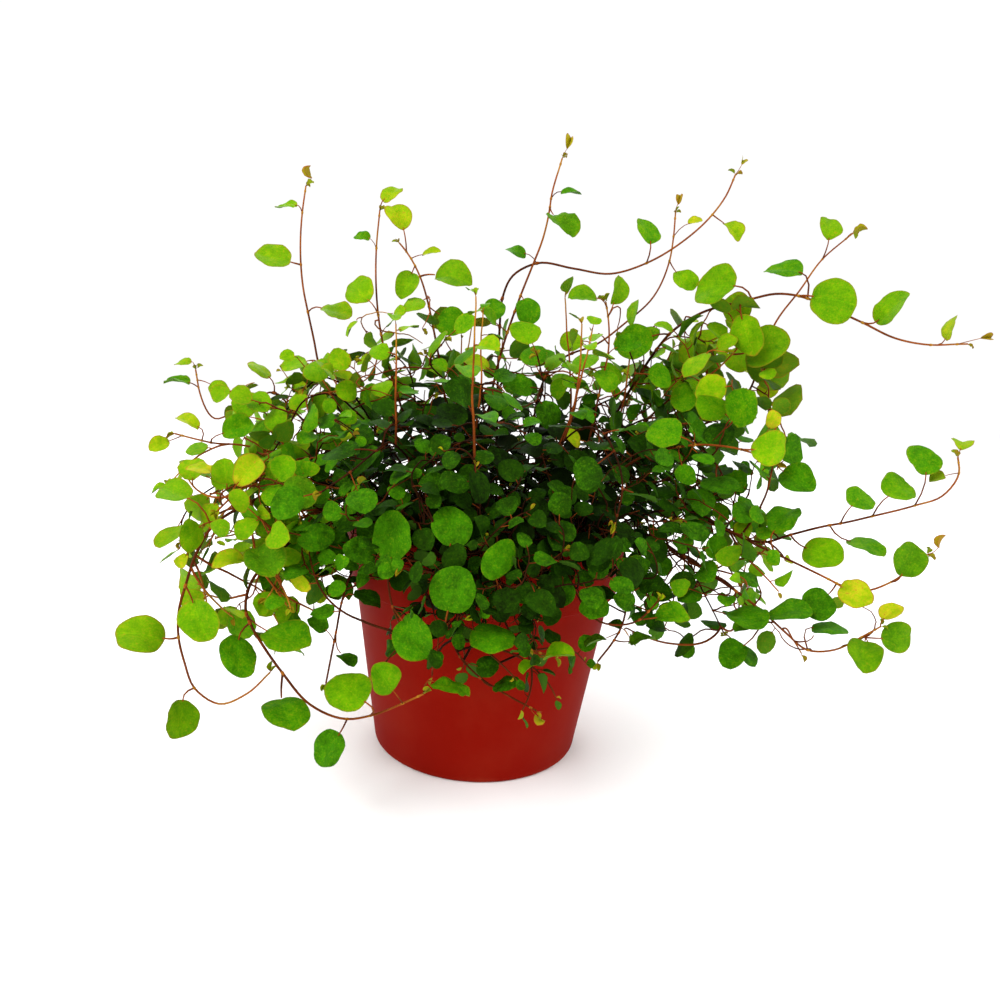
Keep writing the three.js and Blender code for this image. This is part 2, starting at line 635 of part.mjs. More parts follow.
// The leaves of a stem, each the first of its tries that is clear of everything.
function growLeaves(nodes, index) {
  const roll = dice(900 + index);
  for (const node of nodes) {
    if (!node.spec && !node.side) continue;
    for (let k = 0; k < (node.spec ? SHOWN_TRIES : RULE_TRIES); k++) {
      const leaf = node.spec ? shownLeaf(node, roll, k) : ruleLeaf(node, roll, k);
      if (leaf === null || !leafIsClear(leaf)) continue;
      node.leaf = leaf;
      placedDiscs.push(leaf.disc);
      placedSegments.push({ a: node.point, b: leaf.base, radius: STALK_HALF_WIDTH });
      break;
    }
  }
}

// The list of all vines, the mound's ones worked out from their groups.
function allVines() {
  const vines = SHOWN_VINES.map((vine) => ({ ...SHOWN_REST, ...vine }));
  MOUND_GROUPS.forEach((group, g) => {
    for (let i = 0; i < group.count; i++) {
      const roll = dice(500 + 40 * g + i);
      const even = between(group.bearings, (i + 0.5) / group.count);
      const bearing = radians(even + BEARING_STRAY * (roll() - 0.5));
      const out = new THREE.Vector3(Math.cos(bearing), Math.sin(bearing), 0);
      const wide = 1 + MOUND_WIDER * Math.cos(2 * bearing);
      const reach = between(group.reach, roll()) * wide;
      const crown = between(group.crown, roll());
      const end = between(group.end, roll());
      const at = (share, z) => {
        const r = group.root + share * (reach - group.root);
        const stray = [group.stray, group.stray, HEIGHT_STRAY];
        return [out.x * r, out.y * r, z].map((c, k) => c + stray[k] * (roll() - 0.5));
      };
      const route = [
        at(RISE.share, ROOT_TOP + RISE.height * (crown - ROOT_TOP)),
        at(CROWN_SHARE, crown),
        at(FALL.share, crown + FALL.height * (end - crown)),
        at(1, end),
      ];
      const root = [out.x * group.root, out.y * group.root];
      vines.push({ ...group, name: group.name + "_" + (i + 1), root, route, leaves: [] });
    }
  });
  return vines;
}

// Joins two loops of corners that run the same way round. Corners are paired for the least twist, and
// where the first loop has one corner fewer, one of its corners takes two.
function bridge(vertices, triangles, a, b) {
  const doubled = a.map((corner, k) => [...a.slice(0, k), corner, ...a.slice(k)]);
  const starts = a.length === b.length ? [a] : doubled;
  let best = { cost: Infinity };
  for (const from of starts) {
    for (let shift = 0; shift < b.length; shift++) {
      const to = [...b.slice(shift), ...b.slice(0, shift)];
      const spans = from.map((corner, k) => vertices[corner].distanceToSquared(vertices[to[k]]));
      const cost = spans.reduce((sum, span) => sum + span);
      if (cost < best.cost) best = { cost, from, to };
    }
  }
  const { from, to } = best;
  from.forEach((corner, k) => {
    const next = (k + 1) % from.length;
    if (corner !== from[next]) triangles.push([corner, from[next], to[next]]);
    triangles.push([corner, to[next], to[k]]);
  });
}

// A blade, its corners joined by triangles alike on both faces. Returns the loop that its stalk meets.
function addBlade(vertices, triangles, leaf) {
  const at = (u, v, h) => leaf.base.clone().addScaledVector(leaf.across, u).addScaledVector(leaf.along, v)
    .addScaledVector(leaf.face, h);
  const outline = [at(-STALK_HALF_WIDTH, 0, 0)];
  for (let k = 1; k < leaf.corners; k++) {
    const a = (2 * Math.PI * k) / leaf.corners;
    const u = (-Math.sin(a) * leaf.width) / 2;
    const v = ((1 - Math.cos(a)) * leaf.length) / 2;
    outline.push(at(u, v, FOLD * 2 * Math.abs(u)));
  }
  outline.push(at(STALK_HALF_WIDTH, 0, 0));
  const top = vertices.length;
  const low = top + outline.length;
  const last = outline.length - 1;
  const tip = leaf.corners / 2;
  for (const side of [0.5, -0.5]) {
    vertices.push(...outline.map((p) => p.clone().addScaledVector(leaf.face, side * BLADE)));
  }
  const faces = [[0, tip, last]];
  for (let k = 1; k < tip; k++) faces.push([0, k, k + 1]);
  for (let k = tip; k < last - 1; k++) faces.push([last, k, k + 1]);
  for (const [a, b, c] of faces) triangles.push([top + a, top + c, top + b], [low + a, low + b, low + c]);
  for (let k = 0; k < last; k++) {
    triangles.push([top + k, top + k + 1, low + k + 1], [top + k, low + k + 1, low + k]);
  }
  return [top + last, low + last, low, top];
}

// A stem with its leaves as one closed skin: a tube of three-cornered rings. Where a leaf grows, the
// ring splits in two on the side of the stalk, which rises from the facet between them.
function vineGeometry(nodes) {
  const vertices = [];
  const triangles = [];
  const add = (p) => vertices.push(p) - 1;
  let side = new THREE.Vector3(1, 0, 0);
  let open = null; // the ring that the tube has reached
  for (const { point, direction, radius, leaf, tip } of nodes) {
    side = side.clone().addScaledVector(direction, -side.dot(direction)).normalize();
    const other = direction.clone().cross(side);
    const around = (share, r) => side.clone().multiplyScalar(r * Math.cos(2 * Math.PI * share))
      .addScaledVector(other, r * Math.sin(2 * Math.PI * share));
    const corners = [0, 1, 2].map((k) => point.clone().add(around(k / 3, radius)));
    if (!leaf || tip) {
      const ring = corners.map(add);
      if (open) bridge(vertices, triangles, open, ring);
      else triangles.push([ring[0], ring[2], ring[1]]);
      open = ring;
      if (leaf) bridge(vertices, triangles, ring, addBlade(vertices, triangles, leaf));
      else if (point === nodes[nodes.length - 1].point) triangles.push(ring);
      continue;
    }
    const facing = [0, 1, 2].map((k) => around((k + 0.5) / 3, 1).dot(leaf.reach));
    const k = facing.indexOf(Math.max(...facing));
    const [from, to, rest] = [k, (k + 1) % 3, (k + 2) % 3];
    const shift = direction.clone().multiplyScalar(STALK_NODE);
    const lower = corners.map((p, c) => add(c === rest ? p : p.clone().sub(shift)));
    const upper = lower.slice();
    upper[from] = add(corners[from].clone().add(shift));
    upper[to] = add(corners[to].clone().add(shift));
    bridge(vertices, triangles, open, lower);
    triangles.push([lower[to], lower[rest], upper[to]], [lower[rest], lower[from], upper[from]]);
    const stalk = [lower[from], lower[to], upper[to], upper[from]];
    bridge(vertices, triangles, stalk, addBlade(vertices, triangles, leaf));
    open = upper;
  }
  return meshOf(vertices, triangles);
}

// Closed meshes, and the solids that joins and cuts are made on.
function meshOf(vertices, triangles) {
  const positions = vertices.flatMap((v) => [v.x, v.y, v.z]);
  const geometry = new THREE.BufferGeometry();
  geometry.setAttribute("position", new THREE.Float32BufferAttribute(positions, 3));
  geometry.setIndex(triangles.flat());
  geometry.computeVertexNormals();
  return geometry;
}

function solidOf(geometry) {
  const bare = geometry.clone();
  bare.deleteAttribute("normal");
  bare.deleteAttribute("uv");
  const merged = mergeVertices(bare, 1e-4);
  return new wasm.Manifold(new wasm.Mesh({
    numProp: 3,
    vertProperties: new Float32Array(merged.getAttribute("position").array),
    triVerts: new Uint32Array(merged.index.array),
  }));
}

function geometryOf(solid) {
  const mesh = solid.getMesh();
  const geometry = new THREE.BufferGeometry();
  geometry.setAttribute("position", new THREE.BufferAttribute(mesh.vertProperties, 3));
  geometry.setIndex(new THREE.BufferAttribute(mesh.triVerts, 1));
  geometry.computeVertexNormals();
  return geometry;
}

function turned(profile, sides) {
  const points = profile.map(([r, z]) => new THREE.Vector2(r, z));
  return solidOf(new THREE.LatheGeometry(points, sides).rotateX(Math.PI / 2));
}

// The pot: a tapered wall with a collar, and drain holes in its floor.
function potGeometry() {
  let pot = turned([
    [0, 0],
    [BASE_RADIUS - BASE_CHAMFER, 0],
    [BASE_RADIUS, BASE_CHAMFER],
    [WALL_TOP, BAND_FOOT],
    [WALL_TOP + BAND_STEP, BAND_FOOT + BAND_SLOPE],
    [RIM_RADIUS, POT_HEIGHT - LIP],
    [RIM_RADIUS - LIP, POT_HEIGHT],
    [RIM_RADIUS - LIP - WALL, POT_HEIGHT],
    [RIM_RADIUS - 2 * LIP - WALL, POT_HEIGHT - LIP],
    [WALL_TOP + BAND_STEP - WALL - BAND_SLOPE, BAND_FOOT + 3 * BAND_SLOPE],
    [WALL_TOP - WALL, BAND_FOOT - BAND_SLOPE],
    [BASE_RADIUS - WALL, FLOOR],
    [0, FLOOR],
  ], POT_SIDES);
  const drill = new THREE.CylinderGeometry(DRAIN_RADIUS, DRAIN_RADIUS, 4 * FLOOR, DRILL_SIDES)
    .rotateX(Math.PI / 2);
  for (let k = 0; k < DRAIN_HOLES; k++) {
    const a = (2 * Math.PI * k) / DRAIN_HOLES;
    const hole = drill.clone().translate(DRAIN_CIRCLE * Math.cos(a), DRAIN_CIRCLE * Math.sin(a), 0);
    pot = pot.subtract(solidOf(hole));
  }
  return geometryOf(pot);
}

// Soil with one plain three-cornered hole for each stem.
function soilGeometry(roots) {
  const inset = SOIL_GAP * 1.6; // the gap, measured across a sloping wall with flat sides
  let soil = turned([
    [0, FLOOR + SOIL_GAP],
    [BASE_RADIUS - WALL - inset, FLOOR + SOIL_GAP],
    [WALL_TOP - WALL - inset, BAND_FOOT - BAND_SLOPE],
    [WALL_TOP + BAND_STEP - WALL - BAND_SLOPE - inset, SOIL_EDGE],
    SOIL_SHOULDER,
    [0, SOIL_CROWN],
  ], SOIL_SIDES);
  const radius = STEM_BASE_RADIUS + 2 * SOIL_GAP;
  const floor = ROOT_TOP - ROOT_DEPTH - SOIL_GAP;
  const height = 2 * ROOT_DEPTH;
  const drill = new THREE.CylinderGeometry(radius, radius, height, 3, 1, false, Math.PI / 2)
    .rotateX(Math.PI / 2).translate(0, 0, floor + height / 2);
  for (const root of roots) soil = soil.subtract(solidOf(drill.clone().translate(root.x, root.y, 0)));
  return geometryOf(soil);
}

const MATERIALS = {
  pot: new THREE.MeshStandardMaterial({ color: 0x96200f, roughness: 0.42, metalness: 0 }),
  soil: new THREE.MeshStandardMaterial({ color: 0x1c120c, roughness: 0.95, metalness: 0 }),
  vine: new THREE.MeshStandardMaterial({ color: 0x3f8a14, roughness: 0.5, metalness: 0 }),
};

function named(name, geometry, material) {
  const mesh = new THREE.Mesh(geometry, material);
  mesh.name = name;
  return mesh;
}

// All stems find their ways first. Then the leaves fill the room between them.
const vines = allVines();
const routes = vines.map(growStem);
const stems = vines.map((vine, index) => stemNodes(vine, routes[index], index));
placedSegments = stems.flatMap((nodes) => nodes.slice(1)
  .map((node, i) => ({ a: nodes[i].point, b: node.point, radius: nodes[i].radius })));
stems.forEach(growLeaves);

const plant = new THREE.Group();
plant.name = "potted_maidenhair_vine";
plant.add(named("pot", potGeometry(), MATERIALS.pot));
plant.add(named("soil", soilGeometry(stems.map((nodes) => nodes[0].point)), MATERIALS.soil));
vines.forEach((vine, index) => plant.add(named(vine.name, vineGeometry(stems[index]), MATERIALS.vine)));

export default plant;
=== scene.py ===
"""A potted maidenhair vine: a plastic nursery pot of soil with many wiry stems of small round leaves.

Metres, +Z up, origin at the middle of the pot's underside. The stems and leaves follow the solids of the
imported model, and finer twigs with small leaves fill the mound between them.
"""

import math
import random

import bmesh
import bpy
import numpy as np
from mathutils import Matrix, Vector, noise


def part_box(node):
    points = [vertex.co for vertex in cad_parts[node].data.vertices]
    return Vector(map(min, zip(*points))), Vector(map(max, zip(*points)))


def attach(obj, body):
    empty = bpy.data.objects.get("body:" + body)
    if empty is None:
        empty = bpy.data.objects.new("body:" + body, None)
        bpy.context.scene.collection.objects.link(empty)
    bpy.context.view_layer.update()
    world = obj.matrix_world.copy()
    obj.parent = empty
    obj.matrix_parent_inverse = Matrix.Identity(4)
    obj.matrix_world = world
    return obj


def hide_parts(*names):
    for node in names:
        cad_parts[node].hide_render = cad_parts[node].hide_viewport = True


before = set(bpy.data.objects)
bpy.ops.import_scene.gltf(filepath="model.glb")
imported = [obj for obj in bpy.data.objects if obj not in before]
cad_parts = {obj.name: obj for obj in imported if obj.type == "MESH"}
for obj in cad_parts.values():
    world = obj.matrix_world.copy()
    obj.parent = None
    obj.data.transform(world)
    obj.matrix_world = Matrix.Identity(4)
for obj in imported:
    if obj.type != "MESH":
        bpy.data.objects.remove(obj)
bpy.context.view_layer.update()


# Camera
# It stands close to the plant and a little above it, tipped down and slightly turned about its line
# of sight. The picture is square.
MM = 0.001
CAMERA_AT = Vector((5.3, -347, 180)) * MM
CAMERA_PITCH = math.radians(10.5)
CAMERA_ROLL = math.radians(3.73)
FOCAL_SHARE = 0.76  # focal length as a share of the picture's side
SENSOR = 36

sight = Vector((0, math.cos(CAMERA_PITCH), -math.sin(CAMERA_PITCH)))
level = Vector((1, 0, 0))
over = level.cross(sight)
right = level * math.cos(CAMERA_ROLL) + over * math.sin(CAMERA_ROLL)
upward = over * math.cos(CAMERA_ROLL) - level * math.sin(CAMERA_ROLL)
camera = bpy.data.objects.new("photo_camera", bpy.data.cameras.new("photo_camera"))
bpy.context.scene.collection.objects.link(camera)
camera.data.sensor_width = SENSOR
camera.data.lens = SENSOR * FOCAL_SHARE
camera.data.clip_start = 10 * MM
turn = Matrix((right, upward, -sight)).transposed().to_4x4()
camera.matrix_world = Matrix.Translation(CAMERA_AT) @ turn
bpy.context.scene.camera = camera


# Studio
# A plain white floor under white sky light, a large soft box on the left and a weaker one on the
# right. The picture is developed without a film curve, because the photograph's colours are strong.
SKY_LIGHT = 1.03
FLOOR_SIDE = 6.0
FLOOR_COLOUR = (0.98, 0.98, 0.98, 1)
LIT_POINT = Vector((0, 0, 120)) * MM
SOFT_BOXES = {  # name: (place, side in metres, watts)
    "soft_box_left": ((-0.75, -0.85, 0.95), 0.7, 13),
    "soft_box_right": ((0.95, -0.55, 0.8), 0.8, 6),
    "soft_box_back": ((-0.2, 0.95, 0.9), 0.8, 7),
}


def new_material(name, **sockets):
    """A material with only its shader and output, and the shader's plain numbers set."""
    material = bpy.data.materials.new(name)
    material.use_nodes = True
    tree = material.node_tree
    shader = tree.nodes["Principled BSDF"]
    for socket, value in sockets.items():
        shader.inputs[socket.replace("_", " ")].default_value = value
    return material, tree, shader


def new_piece(name, vertices, faces=(), edges=()):
    """A mesh object at the origin, in the scene."""
    mesh = bpy.data.meshes.new(name)
    mesh.from_pydata(vertices, edges, faces)
    piece = bpy.data.objects.new(name, mesh)
    bpy.context.scene.collection.objects.link(piece)
    return piece


world = bpy.data.worlds.new("white_sky")
bpy.context.scene.world = world
world.use_nodes = True
world.node_tree.nodes["Background"].inputs["Color"].default_value = (1, 1, 1, 1)
world.node_tree.nodes["Background"].inputs["Strength"].default_value = SKY_LIGHT
bpy.context.scene.view_settings.view_transform = "Standard"

half = FLOOR_SIDE / 2
floor_corners = [(-half, -half, 0), (half, -half, 0), (half, half, 0), (-half, half, 0)]
floor = new_piece("floor", floor_corners, [(0, 1, 2, 3)])
floor_paint, tree, shader = new_material("floor_paint", Roughness=0.9, Base_Color=FLOOR_COLOUR)
floor.data.materials.append(floor_paint)

for name, (place, side, watts) in SOFT_BOXES.items():
    lamp = bpy.data.objects.new(name, bpy.data.lights.new(name, "AREA"))
    bpy.context.scene.collection.objects.link(lamp)
    lamp.data.size = side
    lamp.data.energy = watts
    lamp.location = place
    aim = LIT_POINT - lamp.location
    lamp.rotation_euler = aim.to_track_quat("-Z", "Y").to_euler()


# Pot
# A moulded nursery pot of red-brown plastic, with a collar below the rim and drain holes in its foot.
# It keeps the solid's sizes, with the rounded edges that a mould leaves.
POT_SIDES = 144
WALL = 1.6 * MM
FLOOR_THICK = 2.4 * MM
COLLAR = 28 * MM
COLLAR_STEP = 2.6 * MM
COLLAR_TAPER = 2.8 * MM
FOOT_RADIUS = 48 * MM
RIM_ROUND = 0.75 * MM
FOOT_ROUND = 2.2 * MM
DRAIN_HOLES = 6
DRAIN_RADIUS = 4.5 * MM
DRAIN_CIRCLE = 33 * MM
DRILL_SIDES = 32
POT_RED = (0.2, 0.0045, 0.0015, 1)
POT_WORN = (0.26, 0.03, 0.012, 1)

pot_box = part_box("pot")
POT_HEIGHT = pot_box[1].z
RIM_RADIUS = pot_box[1].x
WALL_TOP = RIM_RADIUS - COLLAR_STEP - COLLAR_TAPER
COLLAR_FOOT = POT_HEIGHT - COLLAR


def rounded(corner, before, after, radius, steps):
    """Points of an outline that round one of its corners."""
    corner, before, after = Vector(corner), Vector(before), Vector(after)
    start = corner + (before - corner).normalized() * radius
    end = corner + (after - corner).normalized() * radius
    shares = [k / steps for k in range(steps + 1)]
    return [tuple(start * (1 - t) ** 2 + corner * 2 * t * (1 - t) + end * t * t) for t in shares]


def turned(name, outline, sides):
    """A closed shape turned about Z. Its outline starts and ends on the axis, its inside to the left."""
    vertices = [(0, 0, outline[0][1])]
    for r, z in outline[1:-1]:
        angles = [2 * math.pi * k / sides for k in range(sides)]
        vertices += [(r * math.cos(a), r * math.sin(a), z) for a in angles]
    vertices.append((0, 0, outline[-1][1]))
    last = len(vertices) - 1
    rings = len(outline) - 2
    faces = [(0, 1 + (k + 1) % sides, 1 + k) for k in range(sides)]
    for ring in range(rings - 1):
        low = 1 + ring * sides
        high = low + sides
        faces += [(low + k, low + (k + 1) % sides, high + (k + 1) % sides, high + k) for k in range(sides)]
    top = 1 + (rings - 1) * sides
    faces += [(top + k, top + (k + 1) % sides, last) for k in range(sides)]
    return new_piece(name, vertices, faces)


def shade_smooth(piece, angle=35):
    """Smooth shading, with edges sharper than an angle kept."""
    mesh = piece.data
    mesh.polygons.foreach_set("use_smooth", [True] * len(mesh.polygons))
    with bpy.context.temp_override(object=piece, active_object=piece, selected_editable_objects=[piece]):
        bpy.ops.object.shade_smooth_by_angle(angle=math.radians(angle))


outline = [(0, 0)]
corners = [
    (FOOT_RADIUS, 0, FOOT_ROUND),
    (WALL_TOP, COLLAR_FOOT, 0.6 * MM),
    (WALL_TOP + COLLAR_STEP, COLLAR_FOOT + 0.6 * MM, 0.5 * MM),
    (RIM_RADIUS, POT_HEIGHT, RIM_ROUND),
    (RIM_RADIUS - WALL - RIM_ROUND, POT_HEIGHT, RIM_ROUND),
    (WALL_TOP + COLLAR_STEP - WALL, COLLAR_FOOT + 2.4 * MM, 0.6 * MM),
    (WALL_TOP - WALL, COLLAR_FOOT, 0.6 * MM),
    (FOOT_RADIUS - WALL, FLOOR_THICK, 1.5 * MM),
]
edge = [(0, 0)] + [(r, z) for r, z, _ in corners] + [(0, FLOOR_THICK)]
for k, (r, z, radius) in enumerate(corners, start=1):
    outline += rounded(edge[k], edge[k - 1], edge[k + 1], radius, 5)
outline.append((0, FLOOR_THICK))
pot = turned("pot_moulded", outline, POT_SIDES)

drill_vertices, drill_faces = [], []
for hole in range(DRAIN_HOLES):
    a = 2 * math.pi * hole / DRAIN_HOLES
    first = len(drill_vertices)
    for z in (-FLOOR_THICK, 2 * FLOOR_THICK):
        for k in range(DRILL_SIDES):
            b = 2 * math.pi * k / DRILL_SIDES
            x = DRAIN_CIRCLE * math.cos(a) + DRAIN_RADIUS * math.cos(b)
            y = DRAIN_CIRCLE * math.sin(a) + DRAIN_RADIUS * math.sin(b)
            drill_vertices.append((x, y, z))
    ring = range(first, first + DRILL_SIDES)
    drill_faces += [tuple(reversed(ring)), tuple(k + DRILL_SIDES for k in ring)]
    for k in range(DRILL_SIDES):
        n = (k + 1) % DRILL_SIDES
        drill_faces.append((first + k, first + n, first + n + DRILL_SIDES, first + k + DRILL_SIDES))
drill = new_piece("drain_drill", drill_vertices, drill_faces)
cut = pot.modifiers.new("drain_holes", "BOOLEAN")
cut.object = drill
cut.solver = "EXACT"


def applied(piece):
    """Bakes a piece's modifiers into its mesh, and removes them."""
    evaluated = piece.evaluated_get(bpy.context.evaluated_depsgraph_get())
    mesh = bpy.data.meshes.new_from_object(evaluated)
    mesh.name = piece.name
    piece.modifiers.clear()
    piece.data = mesh
    return piece


applied(pot)
bpy.data.objects.remove(drill)
shade_smooth(pot, 40)


def add(tree, kind, wires=None, **settings):
    """A new node of a tree, with its settings, and with its sockets set or wired."""
    made = tree.nodes.new(kind)
    for name, value in settings.items():
        setattr(made, name, value)
    for socket, value in (wires or {}).items():
        if isinstance(value, bpy.types.NodeSocket):
            tree.links.new(value, made.inputs[socket])
        else:
            made.inputs[socket].default_value = value
    return made


def worked_out(tree, operation, *values):
    """The result of a mathematical operation on sockets and numbers."""
    return add(tree, "ShaderNodeMath", dict(enumerate(values)), operation=operation).outputs[0]


def ranged(tree, value, start, end, low=0.0, high=1.0):
    """Goes from low to high while a value goes from start to end, and no further."""
    return add(tree, "ShaderNodeMapRange", {
        "Value": value, "From Min": start, "From Max": end, "To Min": low, "To Max": high}).outputs["Result"]


def cloudy(tree, place, scale, detail, roughness=0.5):
    """Noise that differs from place to place, mostly between 0.3 and 0.7."""
    return add(tree, "ShaderNodeTexNoise", {
        "Vector": place, "Scale": scale, "Detail": detail, "Roughness": roughness}).outputs["Fac"]


def emboss(tree, shader, height, strength, depth):
    """Gives a material a fine relief."""
    bump = add(tree, "ShaderNodeBump", {"Height": height, "Strength": strength, "Distance": depth})
    tree.links.new(bump.outputs["Normal"], shader.inputs["Normal"])


# Fine orange-peel from the mould, faint upright flow marks, and paler scuffs along the rim and foot.
pot_plastic, tree, shader = new_material(
    "pot_plastic", Roughness=0.6, Specular_IOR_Level=0.03, Specular_Tint=(1, 0.35, 0.2, 1))
place = add(tree, "ShaderNodeTexCoord").outputs["Object"]
height = add(tree, "ShaderNodeSeparateXYZ", {"Vector": place}).outputs["Z"]
clouds = cloudy(tree, place, 38, 6, 0.6)
grain = cloudy(tree, place, 1400, 2)
stretch = add(tree, "ShaderNodeMapping", {"Vector": place, "Scale": (1, 1, 0.06)}).outputs["Vector"]
flow = cloudy(tree, stretch, 260, 3)
rim_wear = ranged(tree, height, POT_HEIGHT - 2.2 * MM, POT_HEIGHT)
foot_wear = ranged(tree, height, 9 * MM, 0)
wear = worked_out(tree, "MAXIMUM", rim_wear, foot_wear)
scuffs = ranged(tree, worked_out(tree, "MULTIPLY", wear, clouds), 0.3, 0.75, high=0.8)
haze = ranged(tree, clouds, 0.45, 0.8, high=0.22)
pale = worked_out(tree, "MAXIMUM", scuffs, haze)
colour = add(tree, "ShaderNodeMix", {0: pale, 6: POT_RED, 7: POT_WORN}, data_type="RGBA").outputs[2]
tree.links.new(colour, shader.inputs["Base Color"])
emboss(tree, shader, worked_out(tree, "ADD", flow, grain), 0.12, 0.2 * MM)
pot.data.materials.clear()
pot.data.materials.append(pot_plastic)
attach(pot, "root")
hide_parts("pot")


# Soil
# Dark, crumbly peat compost that fills the pot to a little below its rim, heaped slightly in the
# middle. Its surface is rough, and loose crumbs of peat and bark lie on it.
SOIL_SIDES = 96
SOIL_RINGS = 26
SOIL_FOOT = 3.2 * MM
SOIL_ROUGHNESS = 1.5 * MM
CRUMBS_PER_AREA = 110000  # in each square metre
CRUMB_SIZE = (0.5 * MM, 1.9 * MM)
CRUMB_SEED = 7

soil_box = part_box("soil")
SOIL_CROWN = soil_box[1].z
SOIL_RADIUS = soil_box[1].x


def soil_height(x, y):
    """The height of the soil's surface: a low heap with lumps and grains, calm at the wall."""
    share = min(1.0, math.hypot(x, y) / SOIL_RADIUS)
    heap = SOIL_CROWN - 1.2 * MM - 2.6 * MM * share ** 2
    lumps = noise.fractal(Vector((x, y, 0)) / (9 * MM), 0.9, 2.1, 5)
    return heap + lumps * SOIL_ROUGHNESS * (1 - 0.75 * share ** 6)


soil_outline = [(0, SOIL_FOOT)]
soil_outline += [(FOOT_RADIUS - WALL - 0.3 * MM, SOIL_FOOT), (SOIL_RADIUS - 0.3 * MM, COLLAR_FOOT + 6 * MM)]
soil_outline += [(SOIL_RADIUS * (1 - k / SOIL_RINGS), SOIL_CROWN) for k in range(SOIL_RINGS)]
soil_outline.append((0, SOIL_CROWN))
soil = turned("soil_bed", soil_outline, SOIL_SIDES)
for corner in soil.data.vertices:
    if corner.co.z > COLLAR_FOOT + 7 * MM:
        corner.co.z = soil_height(corner.co.x, corner.co.y)

# Peat: nearly black when damp, with brown grains and a few pale flecks.
peat, tree, shader = new_material("damp_peat", Roughness=0.92, Specular_IOR_Level=0.15)
place = add(tree, "ShaderNodeTexCoord").outputs["Object"]
grains = add(tree, "ShaderNodeTexVoronoi", {"Vector": place, "Scale": 700})
patches = cloudy(tree, place, 120, 5)
tone = add(tree, "ShaderNodeSeparateColor", {"Color": grains.outputs["Color"]}).outputs["Red"]
brown = add(tree, "ShaderNodeValToRGB", {"Fac": worked_out(tree, "MULTIPLY", tone, patches)})
brown.color_ramp.elements[0].color = (0.007, 0.0045, 0.003, 1)
brown.color_ramp.elements[1].color = (0.085, 0.045, 0.022, 1)
tree.links.new(brown.outputs["Color"], shader.inputs["Base Color"])
emboss(tree, shader, grains.outputs["Distance"], 0.6, 0.8 * MM)
soil.data.materials.append(peat)
shade_smooth(soil, 50)


def new_tree(name, inputs):
    """A Geometry Nodes tree with its named inputs, and its first and last node."""
    tree = bpy.data.node_groups.new(name, "GeometryNodeTree")
    tree.interface.new_socket("Geometry", in_out="INPUT", socket_type="NodeSocketGeometry")
    tree.interface.new_socket("Geometry", in_out="OUTPUT", socket_type="NodeSocketGeometry")
    for label, kind in inputs.items():
        tree.interface.new_socket(label, in_out="INPUT", socket_type=f"NodeSocket{kind}")
    return tree, tree.nodes.new("NodeGroupInput").outputs, tree.nodes.new("NodeGroupOutput").inputs


def end_tree(tree, given, out, geometry):
    """Puts the material that a tree is given on its geometry, which becomes its result."""
    done = add(tree, "GeometryNodeSetMaterial", {"Geometry": geometry, "Material": given["Material"]})
    tree.links.new(done.outputs["Geometry"], out["Geometry"])


def grown(piece, tree, **values):
    """Runs a tree on a piece with the values of its named inputs, and keeps the result as its mesh."""
    growth = piece.modifiers.new(tree.name, "NODES")
    growth.node_group = tree
    named = {i.name: i for i in tree.interface.items_tree if i.in_out == "INPUT"}
    for label, value in values.items():
        growth[named[label.replace("_", " ")].identifier] = value
    return applied(piece)


crumb_tree, given, out = new_tree("crumbs_on_soil", {
    "Crumbs Per Area": "Float", "Smallest": "Float", "Largest": "Float", "Seed": "Int",
    "Crumb Shapes": "Collection", "Material": "Material"})
normal = add(crumb_tree, "GeometryNodeInputNormal").outputs["Normal"]
upright = add(crumb_tree, "ShaderNodeSeparateXYZ", {"Vector": normal}).outputs["Z"]
on_top = add(crumb_tree, "FunctionNodeCompare", {
    "A": upright, "B": 0.4}, operation="GREATER_THAN").outputs[0]
strewn = add(crumb_tree, "GeometryNodeDistributePointsOnFaces", {
    "Mesh": given["Geometry"], "Selection": on_top,
    "Density": given["Crumbs Per Area"], "Seed": given["Seed"]})
tumble = add(crumb_tree, "FunctionNodeRandomValue", {
    "Min": (0, 0, 0), "Max": (math.tau, math.tau, math.tau),
    "Seed": given["Seed"]}, data_type="FLOAT_VECTOR")
size = add(crumb_tree, "FunctionNodeRandomValue", data_type="FLOAT")
crumb_tree.links.new(given["Smallest"], size.inputs[2])
crumb_tree.links.new(given["Largest"], size.inputs[3])
crumb_tree.links.new(given["Seed"], size.inputs["Seed"])
shapes = add(crumb_tree, "GeometryNodeCollectionInfo", {
    "Collection": given["Crumb Shapes"], "Separate Children": True, "Reset Children": True})
laid = add(crumb_tree, "GeometryNodeInstanceOnPoints", {
    "Points": strewn.outputs["Points"], "Instance": shapes.outputs["Instances"], "Pick Instance": True,
    "Rotation": tumble.outputs[0], "Scale": size.outputs[1]}).outputs["Instances"]
solid = add(crumb_tree, "GeometryNodeRealizeInstances", {"Geometry": laid}).outputs["Geometry"]
end_tree(crumb_tree, given, out, solid)

CRUMB_PROPORTIONS = ((1, 0.8, 0.6), (1.3, 0.7, 0.55), (0.9, 0.9, 0.8), (2.2, 0.4, 0.35))
crumb_shapes = bpy.data.collections.new("crumb_shapes")
for k, squash in enumerate(CRUMB_PROPORTIONS):
    lump = bmesh.new()
    bmesh.ops.create_icosphere(lump, subdivisions=1, radius=0.5)
    for corner in lump.verts:
        corner.co *= 1 + 0.5 * noise.noise(corner.co * 3 + Vector((k * 9, 0, 0)))
        corner.co = Vector(c * share for c, share in zip(corner.co, squash))
    crumb_mesh = bpy.data.meshes.new(f"crumb_{k}")
    lump.to_mesh(crumb_mesh)
    lump.free()
    crumb_shapes.objects.link(bpy.data.objects.new(f"crumb_{k}", crumb_mesh))
crumbs = bpy.data.objects.new("soil_crumbs", soil.data.copy())
bpy.context.scene.collection.objects.link(crumbs)
